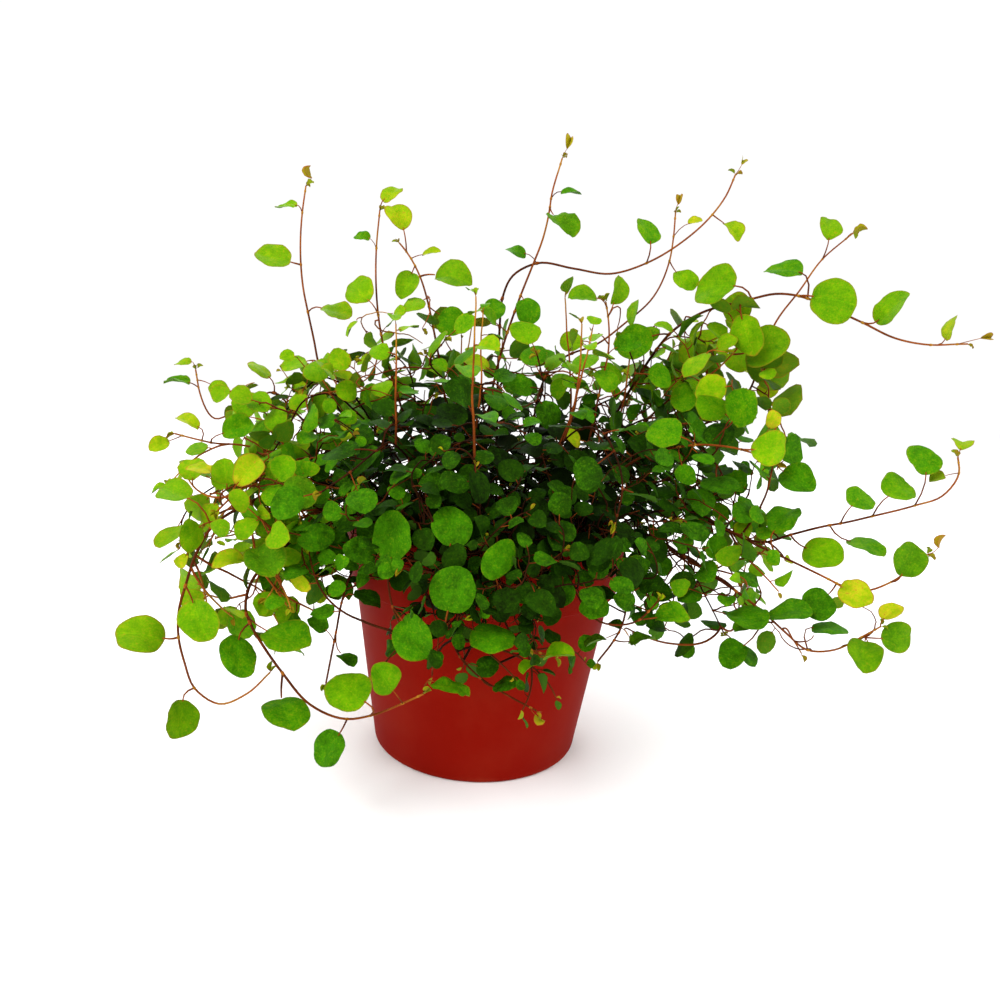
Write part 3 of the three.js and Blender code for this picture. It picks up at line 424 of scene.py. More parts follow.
crumbs = grown(crumbs, crumb_tree, Crumbs_Per_Area=CRUMBS_PER_AREA, Smallest=CRUMB_SIZE[0],
               Largest=CRUMB_SIZE[1], Seed=CRUMB_SEED, Crumb_Shapes=crumb_shapes, Material=peat)
for piece in (soil, crumbs):
    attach(piece, "root")
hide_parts("soil")


# Vines read from their solids
# Each leafy stem of the model is one solid: a wire of three-cornered rings with flat stalks and
# blades. Its line, and the place, turn and width of each of its leaves, are read back from its corners.
BLADE_THICKNESS = 0.7 * MM
STALK_WIDTH = 1.0 * MM
LEAF_PROPORTION = 0.96  # length over width
ALIKE = 0.02 * MM
RING_SIDE = 2.4 * MM  # no side of a ring is longer
SHOWN_BLADE_CORNERS = 18  # a large leaf's blade has this many corners, a mound leaf's has fewer


def blade_middles(solid):
    """The long triangles down the middle of each blade, above and below: two sides alike, one short."""
    middles = []
    for face in solid.faces:
        short, middle, long = sorted(face.edges, key=lambda side: side.calc_length())
        sides_alike = long.calc_length() - middle.calc_length() < ALIKE
        if sides_alike and abs(short.calc_length() - STALK_WIDTH) < ALIKE:
            middles.append((face, short, next(v for v in face.verts if v not in short.verts)))
    return middles


def spread(start, blocked, step):
    """The corners that can be reached from one corner, along edges that a step allows."""
    found, waiting = {start}, [start]
    while waiting:
        corner = waiting.pop()
        near = {e.other_vert(corner) for e in corner.link_edges if step(e)} - found - blocked
        found |= near
        waiting += near
    return found


def in_order(corners):
    """Corners by their number, so that sums over them come out the same each time."""
    return sorted(corners, key=lambda v: v.index)


def middle_of(corners):
    return sum((v.co for v in in_order(corners)), Vector()) / len(corners)


def leaf_at(top, partner):
    """One leaf and the knot of its stem, from the middle triangles of its upper and lower face."""
    face, short, tip = top
    facing = face.normal.copy()
    corners = {*short.verts, *partner[1].verts}
    base = middle_of(corners)
    reach = tip.co - facing * BLADE_THICKNESS / 2 - base
    along = reach.normalized()
    feet = {e.other_vert(v) for v in corners for e in v.link_edges}
    feet = {v for v in feet if (v.co - base).dot(along) < -STALK_WIDTH / 2}
    blade = spread(tip, feet, lambda e: True)
    ring = set(feet)
    point = middle_of(feet)
    if len(feet) == 4:  # the stalk stands on a side of the stem, whose ring has a fifth corner
        near = [{e.other_vert(v) for e in v.link_edges} for v in feet]
        rest = in_order(set.intersection(*near) - blade)[0]
        ring.add(rest)
        point = (middle_of(feet) * 2 + rest.co) / 3
    leaf = {
        "foot": point, "base": base, "along": along, "facing": facing,
        "width": reach.length / LEAF_PROPORTION, "shown": len(blade) == SHOWN_BLADE_CORNERS,
    }
    return ring, blade, point, leaf


def read_vine(name):
    """The points of a stem's line from the root to the end, and its leaves in that order."""
    solid = bmesh.new()
    solid.from_mesh(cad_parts[name].data)
    bmesh.ops.remove_doubles(solid, verts=solid.verts, dist=ALIKE / 10)
    solid.verts.index_update()
    solid.normal_update()
    rings, leaves, spent = [], [], set()
    middles = blade_middles(solid)
    for top in middles:
        face, short, tip = top
        below = tip.co - face.normal * BLADE_THICKNESS
        partner = next((m for m in middles if (m[2].co - below).length < ALIKE), None)
        wings = {v for side in face.edges if side is not short for f in side.link_faces for v in f.verts}
        rise = sum((v.co - tip.co).dot(face.normal) for v in in_order(wings))
        if partner is None or rise < 0:
            continue  # a facet of a stalk, or a blade's underside, whose wings fall away behind it
        ring, blade, point, leaf = leaf_at(top, partner)
        spent |= ring | blade
        leaf["ring"] = len(rings)
        rings.append((ring, point))
        leaves.append(leaf)
    for start in solid.verts:
        if start not in spent:
            ring = spread(start, spent, lambda e: e.calc_length() < RING_SIDE)
            spent |= ring
            rings.append((ring, middle_of(ring)))
    holder = {v: k for k, (ring, _) in enumerate(rings) for v in ring}
    joined = [set() for _ in rings]
    for e in solid.edges:
        ends = [holder.get(v) for v in e.verts]
        if None not in ends and ends[0] != ends[1]:
            joined[ends[0]].add(ends[1])
            joined[ends[1]].add(ends[0])
    points = [point.copy() for _, point in rings]
    ends = [k for k in range(len(rings)) if len(joined[k]) == 1]
    order = [min(ends, key=lambda k: points[k].xy.length)]  # the root is nearer to the pot's axis
    while ahead := joined[order[-1]] - set(order):
        order.append(ahead.pop())
    leaves.sort(key=lambda leaf: order.index(leaf["ring"]))
    solid.free()
    return [points[k] for k in order], leaves


vine_names = sorted(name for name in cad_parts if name.startswith("vine_"))
vines = {name: read_vine(name) for name in vine_names}


# Main stems
# Wiry stems, dark and woody where they leave the soil and orange-brown towards the young end. Each
# is drawn as a smooth line through its leaf knots and gets its thickness from the plant's age there.
# Deep in the mound, and where stems hang under the leaves, the bark is painted darker as shade.
STEM_STEP = 2.4 * MM
STEM_RADIUS_OLD = 0.78 * MM
STEM_RADIUS_YOUNG = 0.36 * MM
STEM_SIDES = 6
MOUND_MIDDLE = (0, 0, 114)  # the dense body of leaves over the pot, in mm
MOUND_REACH = (126, 98, 60)
SHADED_STEMS = ("vine_front", "vine_left_drop", "vine_right_drop")  # these hang under the leaves
SHADED_THICKNESS = 0.75
MOUND_THINNESS = 0.9
# Bark age at the young end of each kind of stem; the shaded stems' lower value is painted shade.
STEM_END_AGES_AND_SHADE = {"shaded": 0.62, "long": 0.92, "mound": 0.34}


def smooth_line(points, step):
    """A smooth line through points, in steps of about one length."""
    knots = [Vector(p) for p in points]
    gaps = [(b - a).length for a, b in zip(knots, knots[1:])]
    slopes = [(b - a) / gap for a, b, gap in zip(knots, knots[1:], gaps)]
    bends = [slopes[0]]
    for k in range(1, len(slopes)):
        bends.append((slopes[k - 1] * gaps[k] + slopes[k] * gaps[k - 1]) / (gaps[k] + gaps[k - 1]))
    bends.append(slopes[-1])
    line = [knots[0]]
    for k, gap in enumerate(gaps):
        parts = max(1, round(gap / step))
        for part in range(1, parts + 1):
            t = part / parts
            start = knots[k] * (1 + 2 * t) + bends[k] * gap * t
            end = knots[k + 1] * (3 - 2 * t) - bends[k + 1] * gap * (1 - t)
            line.append(start * (1 - t) ** 2 + end * t * t)
    return line


def wire(points, thick, thin, foot_age_and_light, tip_age_and_light):
    """A wire of the plant: its line, and a radius and an age value, which can carry painted light and shade,
    that change evenly along it.
    """
    shares = [k / (len(points) - 1) for k in range(len(points))]
    radii = [thick + (thin - thick) * t for t in shares]
    ages_and_light = [foot_age_and_light + (tip_age_and_light - foot_age_and_light) * t for t in shares]
    return {"points": points, "radii": radii, "ages_and_light": ages_and_light}


def give(mesh, name, kind, values):
    """A named attribute with one value for each point of a mesh."""
    layer = mesh.attributes.new(name, kind, "POINT")
    flat = np.asarray(values, dtype=np.float32).ravel()
    layer.data.foreach_set("vector" if kind == "FLOAT_VECTOR" else "value", flat)


def wire_lines(name, wires):
    """All wires as one mesh of edges, with their radii and age values, painted light and shade included."""
    vertices, edges = [], []
    for one in wires:
        first = len(vertices)
        vertices += one["points"]
        edges += [(k, k + 1) for k in range(first, len(vertices) - 1)]
    piece = new_piece(name, vertices, edges=edges)
    give(piece.data, "radius", "FLOAT", [r for one in wires for r in one["radii"]])
    give(piece.data, "age", "FLOAT", [a for one in wires for a in one["ages_and_light"]])
    return piece


def named_value(tree, name, kind="FLOAT"):
    """The socket that gives a piece's own attribute in a Geometry Nodes tree."""
    return add(tree, "GeometryNodeInputNamedAttribute", {"Name": name}, data_type=kind).outputs["Attribute"]


wire_tree, given, out = new_tree("wire_from_line", {"Sides": "Int", "Material": "Material"})
curve = add(wire_tree, "GeometryNodeMeshToCurve", {"Mesh": given["Geometry"]}).outputs["Curve"]
profile = add(wire_tree, "GeometryNodeCurvePrimitiveCircle", {"Resolution": given["Sides"], "Radius": 1.0})
tube = add(wire_tree, "GeometryNodeCurveToMesh", {
    "Curve": curve, "Profile Curve": profile.outputs["Curve"],
    "Scale": named_value(wire_tree, "radius"), "Fill Caps": True}).outputs["Mesh"]
solid = add(wire_tree, "GeometryNodeRealizeInstances", {"Geometry": tube}).outputs["Geometry"]
soft = add(wire_tree, "GeometryNodeSetShadeSmooth", {"Geometry": solid}).outputs["Geometry"]
end_tree(wire_tree, given, out, soft)

# Bark: nearly black at the foot, red-brown, then orange-tan on young wood, with fine streaks. The age value
# that picks the colour also carries painted shade in the mound and painted light and shade on the twigs.
BARK_AGES_AND_LIGHT = {
    0.0: (0.008, 0.003, 0.0015, 1),
    0.3: (0.02, 0.006, 0.0025, 1),
    0.6: (0.09, 0.018, 0.004, 1),
    0.85: (0.25, 0.06, 0.008, 1),
    1.0: (0.34, 0.15, 0.014, 1),
}


def colour_ramp(tree, factor, stops):
    """A colour that runs through stops, as a factor runs from 0 to 1."""
    ramp = add(tree, "ShaderNodeValToRGB", {"Fac": factor})
    elements = ramp.color_ramp.elements
    while len(elements) < len(stops):
        elements.new(0.5)
    for element, (place, colour) in zip(elements, sorted(stops.items())):
        element.position = place
        element.color = colour
    return ramp.outputs["Color"]


def own_value(tree, name, socket="Fac"):
    """The socket that gives a piece's own attribute in a material."""
    return add(tree, "ShaderNodeAttribute", attribute_name=name).outputs[socket]


bark, tree, shader = new_material(
    "vine_bark", Roughness=0.65, Specular_IOR_Level=0.05, Specular_Tint=(1, 0.4, 0.15, 1))
place = add(tree, "ShaderNodeTexCoord").outputs["Object"]
shift = ranged(tree, cloudy(tree, place, 90, 3), 0.3, 0.7, -0.14, 0.14)
fibres = cloudy(tree, place, 1500, 3)
wood = colour_ramp(tree, worked_out(tree, "ADD", own_value(tree, "age"), shift), BARK_AGES_AND_LIGHT)
streak = ranged(tree, fibres, 0, 1, 0.6, 1.4)
toned = add(tree, "ShaderNodeVectorMath", {0: wood, "Scale": streak}, operation="SCALE").outputs[0]
tree.links.new(toned, shader.inputs["Base Color"])
emboss(tree, shader, fibres, 0.5, 0.1 * MM)


def shade_painted_in_mound(one):
    """A wire whose bark is painted darker, as shade, wherever it is deep in the mound."""
    for k, point in enumerate(one["points"]):
        depth = Vector((c - m * MM) / (r * MM) for c, m, r in zip(point, MOUND_MIDDLE, MOUND_REACH)).length
        one["ages_and_light"][k] *= min(1.0, 0.3 + 1.1 * max(0.0, depth - 0.35))
    return one


stem_lines = {name: smooth_line(points, STEM_STEP) for name, (points, leaves) in vines.items()}
main_wires = []
for name, line in stem_lines.items():
    long = any(leaf["shown"] for leaf in vines[name][1])
    shaded = name.startswith(SHADED_STEMS)
    thin = STEM_RADIUS_YOUNG * (1 if long else MOUND_THINNESS)
    thick = STEM_RADIUS_OLD * (SHADED_THICKNESS if shaded or not long else 1)
    tip_age_and_light = STEM_END_AGES_AND_SHADE["shaded" if shaded else "long" if long else "mound"]
    main_wires.append(shade_painted_in_mound(wire(line, thick, thin, 0.0, tip_age_and_light)))
stems = grown(wire_lines("vine_stems", main_wires), wire_tree, Sides=STEM_SIDES, Material=bark)
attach(stems, "root")
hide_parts(*vine_names)


# Twigs
# Fine side shoots branch from the stems and carry most of the small leaves, with loose looping ones at
# the skirt and upright ones at the crown. They grow from a fixed seed, each only where the air is free.
SEED = 20
MASSES = {  # bodies of foliage: (middle, reach, widths of small leaves, all in mm, share of bare knots)
    "mound": (MOUND_MIDDLE, MOUND_REACH, (7.5, 11.5), 0.0),
    "crown": ((5, 12, 165), (95, 60, 18), (9.5, 14.5), 0.5),
    "tuft_on_pair": ((-38, -2, 188), (24, 16, 24), (10, 14.5), 0.7),
    "tuft_on_right": ((45, -15, 186), (18, 16, 24), (8.5, 13.5), 0.75),
    "right_shoulder": ((98, 0, 163), (40, 42, 46), (12, 18), 0.0),
    "left_shoulder": ((-74, 0, 146), (46, 48, 32), (10, 15.5), 0.0),
    "left_skirt": ((-85, -48, 105), (36, 32, 40), (9.5, 15.5), 0.0),
    "right_skirt": ((92, -20, 95), (40, 38, 40), (8, 14), 0.3),
    "right_low": ((128, -45, 80), (42, 22, 18), (9, 15), 0.9),
    "front_rim": ((-5, -80, 107), (37, 17, 19), (7.5, 12), 0.0),
    "front_skirt": ((0, -84, 78), (36, 16, 28), (6, 9.5), 0.1),
}
TWIG_SPACING = 10 * MM
SIDE_TWIG_SPACING = 26 * MM
RIM_TWIG_SPACING = 4 * MM
TWIG_LENGTH = (24 * MM, 60 * MM)
TWIG_STEP = 2.5 * MM
SHORTEST_TWIG = 5  # steps
TWIG_RADIUS_OLD = 0.4 * MM
TWIG_RADIUS_YOUNG = 0.2 * MM
TWIG_SIDES = 5
LEAF_SPACING = (5 * MM, 7.5 * MM)
RIM_LEAF_SPACING = (3.5 * MM, 5.5 * MM)
STALK_SMALL = (1.6 * MM, 3.4 * MM)
OLDEST_GREEN = 0.74  # the age past which a leaf turns pale
PALE_SHARE = 0.04  # of the leaves in good light
LEAF_SCATTER = 0.8  # how far small leaves stray from facing the light
AIR_GAP = 0.9 * MM
WIRE_GAP = 1.3 * MM
BLADE_ROOM = 0.8 * MM
BLADES_AT_MOST = 6000
HEM_FRONT = 78 * MM  # the lower edge of the leaves in the middle of the pot's front
HEM_CORNER = 102 * MM  # and at the two ends of the rim, which show there
HEM_SIDE = 60 * MM
FRONT_REACH = -101 * MM  # nothing leans further forward
POT_CLEARANCE = 2.5 * MM

rng = random.Random(SEED)


def any_turn():
    """A direction that is as likely as any other."""
    z = rng.uniform(-1, 1)
    a = rng.uniform(0, 2 * math.pi)
    r = math.sqrt(1 - z * z)
    return Vector((r * math.cos(a), r * math.sin(a), z))


def mass_share(point):
    """The mass that a point is deepest in, and its way from the middle, 1 long at the mass's skin."""
    ways = []
    for name, (middle, reach, _, _) in MASSES.items():
        way = Vector((c - m * MM) / (r * MM) for c, m, r in zip(point, middle, reach))
        ways.append((way.length, name, way))
    _, name, way = min(ways)
    return name, way


def mound_share(point):
    return mass_share(point)[1]


def in_the_air(point, skin=1.0):
    """Whether a twig can grow at a point: in the mound, above its hem, and clear of pot and soil."""
    r = point.xy.length
    front = max(0.0, -point.y / max(r, MM))
    mass, way = mass_share(point)
    lowest = HEM_FRONT if mass.startswith("front") else HEM_CORNER
    hem = HEM_SIDE + (lowest - HEM_SIDE) * front ** 2
    over_soil = r < WALL_TOP - 3 * MM and point.z > SOIL_CROWN + 2 * MM
    beside_pot = r > RIM_RADIUS + POT_CLEARANCE and point.z > hem
    above_pot = point.z > POT_HEIGHT + POT_CLEARANCE
    free = point.y > FRONT_REACH and (over_soil or beside_pot or above_pot)
    return free and way.length < skin


class TakenAir:
    """The room that blades and wires already take, as flat discs and as points along lines."""

    def __init__(self, room):
        self.middle = np.zeros((room, 3))
        self.facing = np.zeros((room, 3))
        self.radius = np.zeros(room)
        self.blades = 0
        self.wires = np.zeros((0, 3))
        self.large = []

    def blade_disc(self, leaf):
        middle = leaf["base"] + leaf["along"] * leaf["width"] * LEAF_PROPORTION / 2
        return np.array(middle), np.array(leaf["facing"]), leaf["width"] / 2

    def take_blade(self, leaf):
        middle, facing, radius = self.blade_disc(leaf)
        self.middle[self.blades] = middle
        self.facing[self.blades] = facing
        self.radius[self.blades] = radius
        self.blades += 1

    def take_wire(self, points):
        self.wires = np.vstack([self.wires, np.array(points)])

    def keep_open(self, leaf):
        """Keeps small growth from hiding a large leaf, which has found its own place in the light."""
        middle, _, radius = self.blade_disc(leaf)
        toward = np.array(CAMERA_AT) - middle
        self.large.append((*middle, *(toward / np.linalg.norm(toward)), radius))

    def hides_large(self, points, half_width):
        large = np.array(self.large)
        offset = np.atleast_2d(points)[:, None] - large[None, :, :3]
        ahead = np.einsum("ijk,jk->ij", offset, large[:, 3:6])
        aside = np.sqrt(np.maximum(np.einsum("ijk,ijk->ij", offset, offset) - ahead ** 2, 0))
        return bool(np.any((ahead > 0) & (aside < large[:, 6] * 0.8 + half_width)))

    def wire_fits(self, points):
        offset = np.array(points)[:, None] - self.middle[None, :self.blades]
        height = np.einsum("ijk,jk->ij", offset, self.facing[:self.blades])
        aside = np.einsum("ijk,ijk->ij", offset, offset) - height ** 2
        inside = aside < self.radius[:self.blades] ** 2
        if np.any((np.abs(height) < WIRE_GAP) & inside):
            return False
        return not self.hides_large(points, 0)

    def blade_fits(self, leaf):
        middle, facing, radius = self.blade_disc(leaf)
        if middle[1] - radius < FRONT_REACH - 3 * MM:
            return False
        offset = self.wires - middle
        height = offset @ facing
        aside = np.einsum("ij,ij->i", offset, offset) - height ** 2
        if np.any((np.abs(height) < BLADE_ROOM) & (aside < (radius - BLADE_ROOM / 2) ** 2)):
            return False
        others, turned_to = self.middle[:self.blades], self.facing[:self.blades]
        reach = self.radius[:self.blades]
        offset = others - middle
        near = np.einsum("ij,ij->i", offset, offset) < (radius + reach) ** 2
        offset, turned_to, reach = offset[near], turned_to[near], reach[near]
        if not len(reach):
            return True
        height = np.einsum("ij,ij->i", offset, turned_to)
        lean = turned_to @ facing
        sine = np.sqrt(np.maximum(1 - lean ** 2, 1e-6))
        fold = np.cross(np.broadcast_to(facing, turned_to.shape), turned_to) / sine[:, None]
        toward = (turned_to - lean[:, None] * facing) / sine[:, None]
        half = radius ** 2 - (height / sine) ** 2
        shift = np.einsum("ij,ij->i", offset, fold)
        gap = toward * (height / sine)[:, None] + fold * shift[:, None] - offset
        other_half = reach ** 2 - np.einsum("ij,ij->i", gap, gap)
        meet = (half > 0) & (other_half > 0)
        spans = np.sqrt(np.maximum(half, 0)) + np.sqrt(np.maximum(other_half, 0))
        crossing = meet & (np.abs(shift) < spans)
        own_height = offset @ facing
        stacked = (np.abs(own_height) < AIR_GAP) & (sine < 0.35)
        return not np.any(crossing | stacked)


def leaf_spread(point, heading):
    """How a small leaf lies: its stalk's direction, its blade's direction and the way it faces."""
    mass, out = mass_share(point)
    up = 1.0 if mass == "mound" else 0.6 if mass.startswith("front") else 0.35
    light = Vector((out.x, out.y, out.z * 0.5 + up)) + any_turn() * LEAF_SCATTER
    facing = light.normalized()
    along = heading - facing * heading.dot(facing)
    if along.length < 0.2:
        along = facing.orthogonal()
    return along.normalized(), facing


def new_leaf(foot, heading, width, stalk, age):
    """A small leaf on a short stalk."""
    along, facing = leaf_spread(foot, heading)
    base = foot + (heading.normalized() * 0.5 + along * 0.5) * stalk
    return {"foot": foot, "base": base, "along": along, "facing": facing, "width": width,
            "shown": False, "age": age}


def grow_twig(start, heading, length, curl, skin):
    """The points of a twig, as far as it finds free air."""
    points = [start]
    for _ in range(round(length / TWIG_STEP)):
        here = points[-1]
        share = mound_share(here)
        back = share * -0.5 if share.length > 0.9 * skin else Vector()
        heading = (heading + any_turn() * curl + share * 0.05 + back + Vector((0, 0, 0.02))).normalized()
        there = here + heading * TWIG_STEP
        if not in_the_air(there, skin) or not air.wire_fits([there, (here + there) / 2]):
            break
        points.append(there)
    return points


def settle(leaf):
    """Makes a leaf inside the mound finer, and tilts it on its stalk as the crowd makes it lie."""
    name, way = mass_share(leaf["base"])
    inside = name == "mound" and way.length < 0.9 and leaf["foot"].y > -62 * MM
    if leaf["shown"] and not inside:
        return
    leaf["width"] *= rng.uniform(0.74, 0.9)
    turned_up = leaf["along"].cross(leaf["facing"]).z
    tilt = Matrix.Rotation(math.copysign(rng.gauss(0.25, 0.45), turned_up), 3, leaf["along"])
    leaf["facing"] = tilt @ leaf["facing"]


# How single leaves have turned on their stalks, by their number from the root: how narrow each looks
# from in front, the slant of its long side in degrees and, where it stands out, its age value, which also
# paints its light and shade.
LEAF_VIEWS = {
    "vine_arch_right": {6: (0.95, 0, 0.5), 7: (0.9, 90), 8: (0.75, 50), 9: (0.93, 0), 10: (0.48, 0, 0.5),
                        11: (0.65, 45), 12: (0.45, 60, 0.88)},
    "vine_centre_tall": {9: (0.55, -20), 10: (0.25, -5, 0.45)},
    "vine_front": {0: (0.95, 0, 0.43), 1: (0.95, 90, 0.45), 2: (0.9, 0, 0.2), 3: (0.45, 25, 0.3)},
    "vine_front_left": {2: (0.8, 90, 0.45), 3: (0.95, 90, 0.49)},
    "vine_front_mid": {1: (0.9, 90, 0.46), 2: (0.62, 0, 0.48), 3: (0.45, 25, 0.72), 4: (0.35, 10, 0.7)},
    "vine_front_right": {1: (0.9, 0, 0.46), 2: (0.75, 15, 0.58), 3: (0.9, 90, 0.36)},
    "vine_left_drop": {1: (0.45, -25, 0.3), 2: (0.45, -15, 0.3), 3: (0.85, 0, 0.35)},
    "vine_left_lime": {2: (0.93, 0), 3: (0.45, -5, 0.92), 4: (0.93, 0, 0.86)},
    "vine_left_loop": {1: (0.75, 105), 2: (0.52, 8), 3: (0.93, 90), 4: (0.83, -10), 5: (0.8, 100)},
    "vine_left_low": {2: (0.75, -10), 3: (0.85, -45), 4: (0.68, 3), 5: (0.8, 90), 6: (0.82, 10, 0.68),
                      7: (0.9, 90, 0.6), 8: (0.4, -22, 0.58)},
    "vine_left_mid": {2: (0.4, 8, 0.84), 3: (0.75, 0)},
    "vine_left_out": {2: (0.95, 0, 0.55), 3: (0.5, -10, 0.9), 4: (0.9, 0, 0.82)},
    "vine_left_tall": {2: (0.5, -12), 3: (0.6, -8), 4: (0.25, 12, 0.7), 5: (0.45, 90)},
    "vine_left_top": {5: (0.4, -30, 0.78), 6: (0.25, 0, 0.55), 7: (0.9, 0), 8: (0.45, 15, 0.8)},
    "vine_mid_right": {7: (0.9, 0, 0.5), 8: (0.65, 90), 9: (0.5, -5)},
    "vine_pair_left": {7: (0.7, 20), 8: (0.6, 5, 0.5), 9: (0.55, 20, 0.82)},
    "vine_pair_right": {8: (0.85, 10), 9: (0.65, 3), 10: (0.9, 0), 11: (0.4, 15, 0.85), 12: (0.9, 0, 0.82)},
    "vine_right_drop": {1: (0.8, 45), 2: (0.35, 15), 3: (0.4, 5)},
    "vine_right_fork": {2: (0.6, 20), 3: (0.9, 0, 0.9), 4: (0.9, 0, 0.4), 5: (0.65, 100),
                        6: (0.5, 60, 0.88)},
    "vine_right_long": {2: (0.85, 0), 3: (0.45, -15), 4: (0.65, -35), 5: (0.65, -25), 6: (0.85, -30),
                        7: (0.7, 10), 8: (0.35, -8, 0.82)},
    "vine_right_low": {1: (0.48, 0), 2: (0.5, 5), 3: (0.85, 0, 0.45), 4: (0.35, -5), 5: (0.85, 90),
                       6: (0.6, -25), 7: (0.93, 0, 0.92)},
    "vine_right_mass": {2: (0.85, 0, 0.5), 3: (0.85, 90, 0.74), 4: (0.9, 0, 0.92), 5: (0.93, 0, 0.48)},
    "vine_top_right": {8: (0.9, 0, 0.88), 10: (0.8, 90), 11: (0.7, -50), 12: (0.35, 20, 0.85)},
    "vine_wave_far": {5: (0.5, -10), 6: (0.6, -35), 7: (0.5, -25, 0.8), 8: (0.35, -40)},
    "vine_wave_near": {8: (0.8, -30, 0.74), 9: (0.4, 0)},
}


def turn_to_view(leaf, narrow, slant):
    """Turns a leaf about its middle until it looks so narrow and so slanted from in front."""
    half = leaf["width"] * LEAF_PROPORTION / 2
    middle = leaf["base"] + leaf["along"] * half
    toward = (CAMERA_AT - middle).normalized()
    long_side = right * math.cos(math.radians(slant)) + upward * math.sin(math.radians(slant))
    short_side = toward.cross(long_side).normalized()
    if short_side.dot(upward + leaf["facing"] * 0.5) < 0:
        short_side = -short_side
    facing = toward * narrow + short_side * math.sqrt(1 - narrow ** 2)
    along = leaf["along"] - facing * leaf["along"].dot(facing)
    if along.length < 0.3:
        along = middle - leaf["foot"]
        along -= facing * along.dot(facing)
    leaf["facing"] = facing
    leaf["along"] = along.normalized()
    leaf["base"] = middle - leaf["along"] * half


air = TakenAir(BLADES_AT_MOST)
for line in stem_lines.values():
    air.take_wire(line)
for name, (points, leaves) in vines.items():
    views = LEAF_VIEWS.get(name, {})
    for number, leaf in enumerate(leaves):
        settle(leaf)
        if number in views:
            narrow, slant, *age = views[number]
            for ease in (0.0, 0.35, 0.7):
                turn_to_view(leaf, narrow + (0.97 - narrow) * ease, slant)
                if air.blade_fits(leaf):
                    break
            if age:
                leaf["age"] = age[0]
                leaf["blush"] = 0.15 if age[0] > 0.75 else 0.0
            if leaf["width"] > 12 * MM:
                air.keep_open(leaf)
        air.take_blade(leaf)

# Painted light grows with the reach from the pot's axis, above the mound's top and towards the left;
# MASS_LIGHT paints some masses darker, as shade, and some brighter, as light.
PLANT_REACH = 130 * MM
MOUND_TOP = 152 * MM
LIT_HEIGHT = 32 * MM
MASS_LIGHT = {"front_rim": -0.14, "front_skirt": -0.12, "right_shoulder": -0.08, "crown": 0.1,
              "tuft_on_pair": 0.1, "tuft_on_right": 0.08}


def light_at(point):
    """The painted light at a point, used as the age value of leaves and twigs: dark in the hollow over the
    pot as painted shade, bright on the outer masses as painted light.
    """
    away = math.hypot(point.x, 0.6 * point.y) / PLANT_REACH
    high = max(0.0, point.z - MOUND_TOP) / LIT_HEIGHT
    left = max(0.0, -point.x) / PLANT_REACH
    mass, way = mass_share(point)
    own = 0.55 * (min(1.1, way.length) - 0.98) if mass == "mound" else MASS_LIGHT.get(mass, 0.06)
    return 0.52 * min(1.0, away) + 0.44 * min(1.0, high) + 0.24 * left + own


twig_lines, small_leaves = [], []


def leaf_twig(points, spacing, extra_bare=0.0):
    """Sets leaves along a twig, turn about on its sides, and one at its end."""
    side = any_turn()
    due = rng.uniform(*spacing)
    for k in range(1, len(points)):
        due -= (points[k] - points[k - 1]).length
        last = k == len(points) - 1
        if due > 0 and not last:
            continue
        due = rng.uniform(*spacing)
        along_twig = (points[k] - points[k - 1]).normalized()
        side = side - along_twig * side.dot(along_twig)
        side = (-side.normalized() + any_turn() * 0.35).normalized()
        share = k / len(points)
        mass, way = mass_share(points[k])
        bare = MASSES[mass][3] + extra_bare
        if rng.random() < bare or (way.length < 0.5 and rng.random() < 0.5):
            continue
        widths = [w * MM for w in MASSES[mass][2]]
        # The leaf's age value is mostly painted light and shade from light_at, rising a little towards the
        # twig's end.
        age = min(OLDEST_GREEN, light_at(points[k]) + 0.12 * share + rng.gauss(0, 0.06))
        if age > 0.35 and rng.random() < PALE_SHARE * (2 if mass.startswith("left") else 1):
            age = rng.uniform(0.75, 0.92)
        for attempt in range(5):
            width = rng.uniform(*widths) * (0.62 if last else 1 - 0.2 * share) * (1 - 0.07 * attempt)
            heading = along_twig if last else side + along_twig * rng.uniform(0.1, 0.7)
            leaf = new_leaf(points[k], heading, width, rng.uniform(*STALK_SMALL), age)
            middle = leaf["base"] + leaf["along"] * width / 2
            if air.blade_fits(leaf) and not air.hides_large(middle, width * 0.3):
                air.take_blade(leaf)
                small_leaves.append(leaf)
                break
            side = (side + any_turn() * 0.6).normalized()


def branch(line, spacing, wanted_masses, leaf_spacing=LEAF_SPACING):
    """Grows twigs from a line, wherever it passes through the wanted masses."""
    travelled = rng.uniform(0, spacing)
    for before, here in zip(line, line[1:]):
        travelled += (here - before).length
        if travelled < spacing or not in_the_air(here, 0.97) or mass_share(here)[0] not in wanted_masses:
            continue
        travelled = rng.uniform(-0.3, 0.3) * spacing
        way = (here - before).normalized()
        for attempt in range(6):
            heading = any_turn() + mound_share(here).normalized() * 0.7
            heading -= way * heading.dot(way) * 0.8
            length = rng.uniform(*TWIG_LENGTH)
            points = grow_twig(here, heading.normalized(), length, 0.34, rng.uniform(0.84, 1.1))
            if len(points) > SHORTEST_TWIG:
                air.take_wire(points)
                twig_lines.append(points)
                leaf_twig(points, leaf_spacing)
                break


for line in stem_lines.values():
    branch(line, TWIG_SPACING, MASSES)
for line in list(twig_lines):
    branch(line, SIDE_TWIG_SPACING, ("right_shoulder",))
for _ in range(2):
    for line in [*stem_lines.values(), *twig_lines]:
        branch(line, RIM_TWIG_SPACING, ("front_rim",), RIM_LEAF_SPACING)

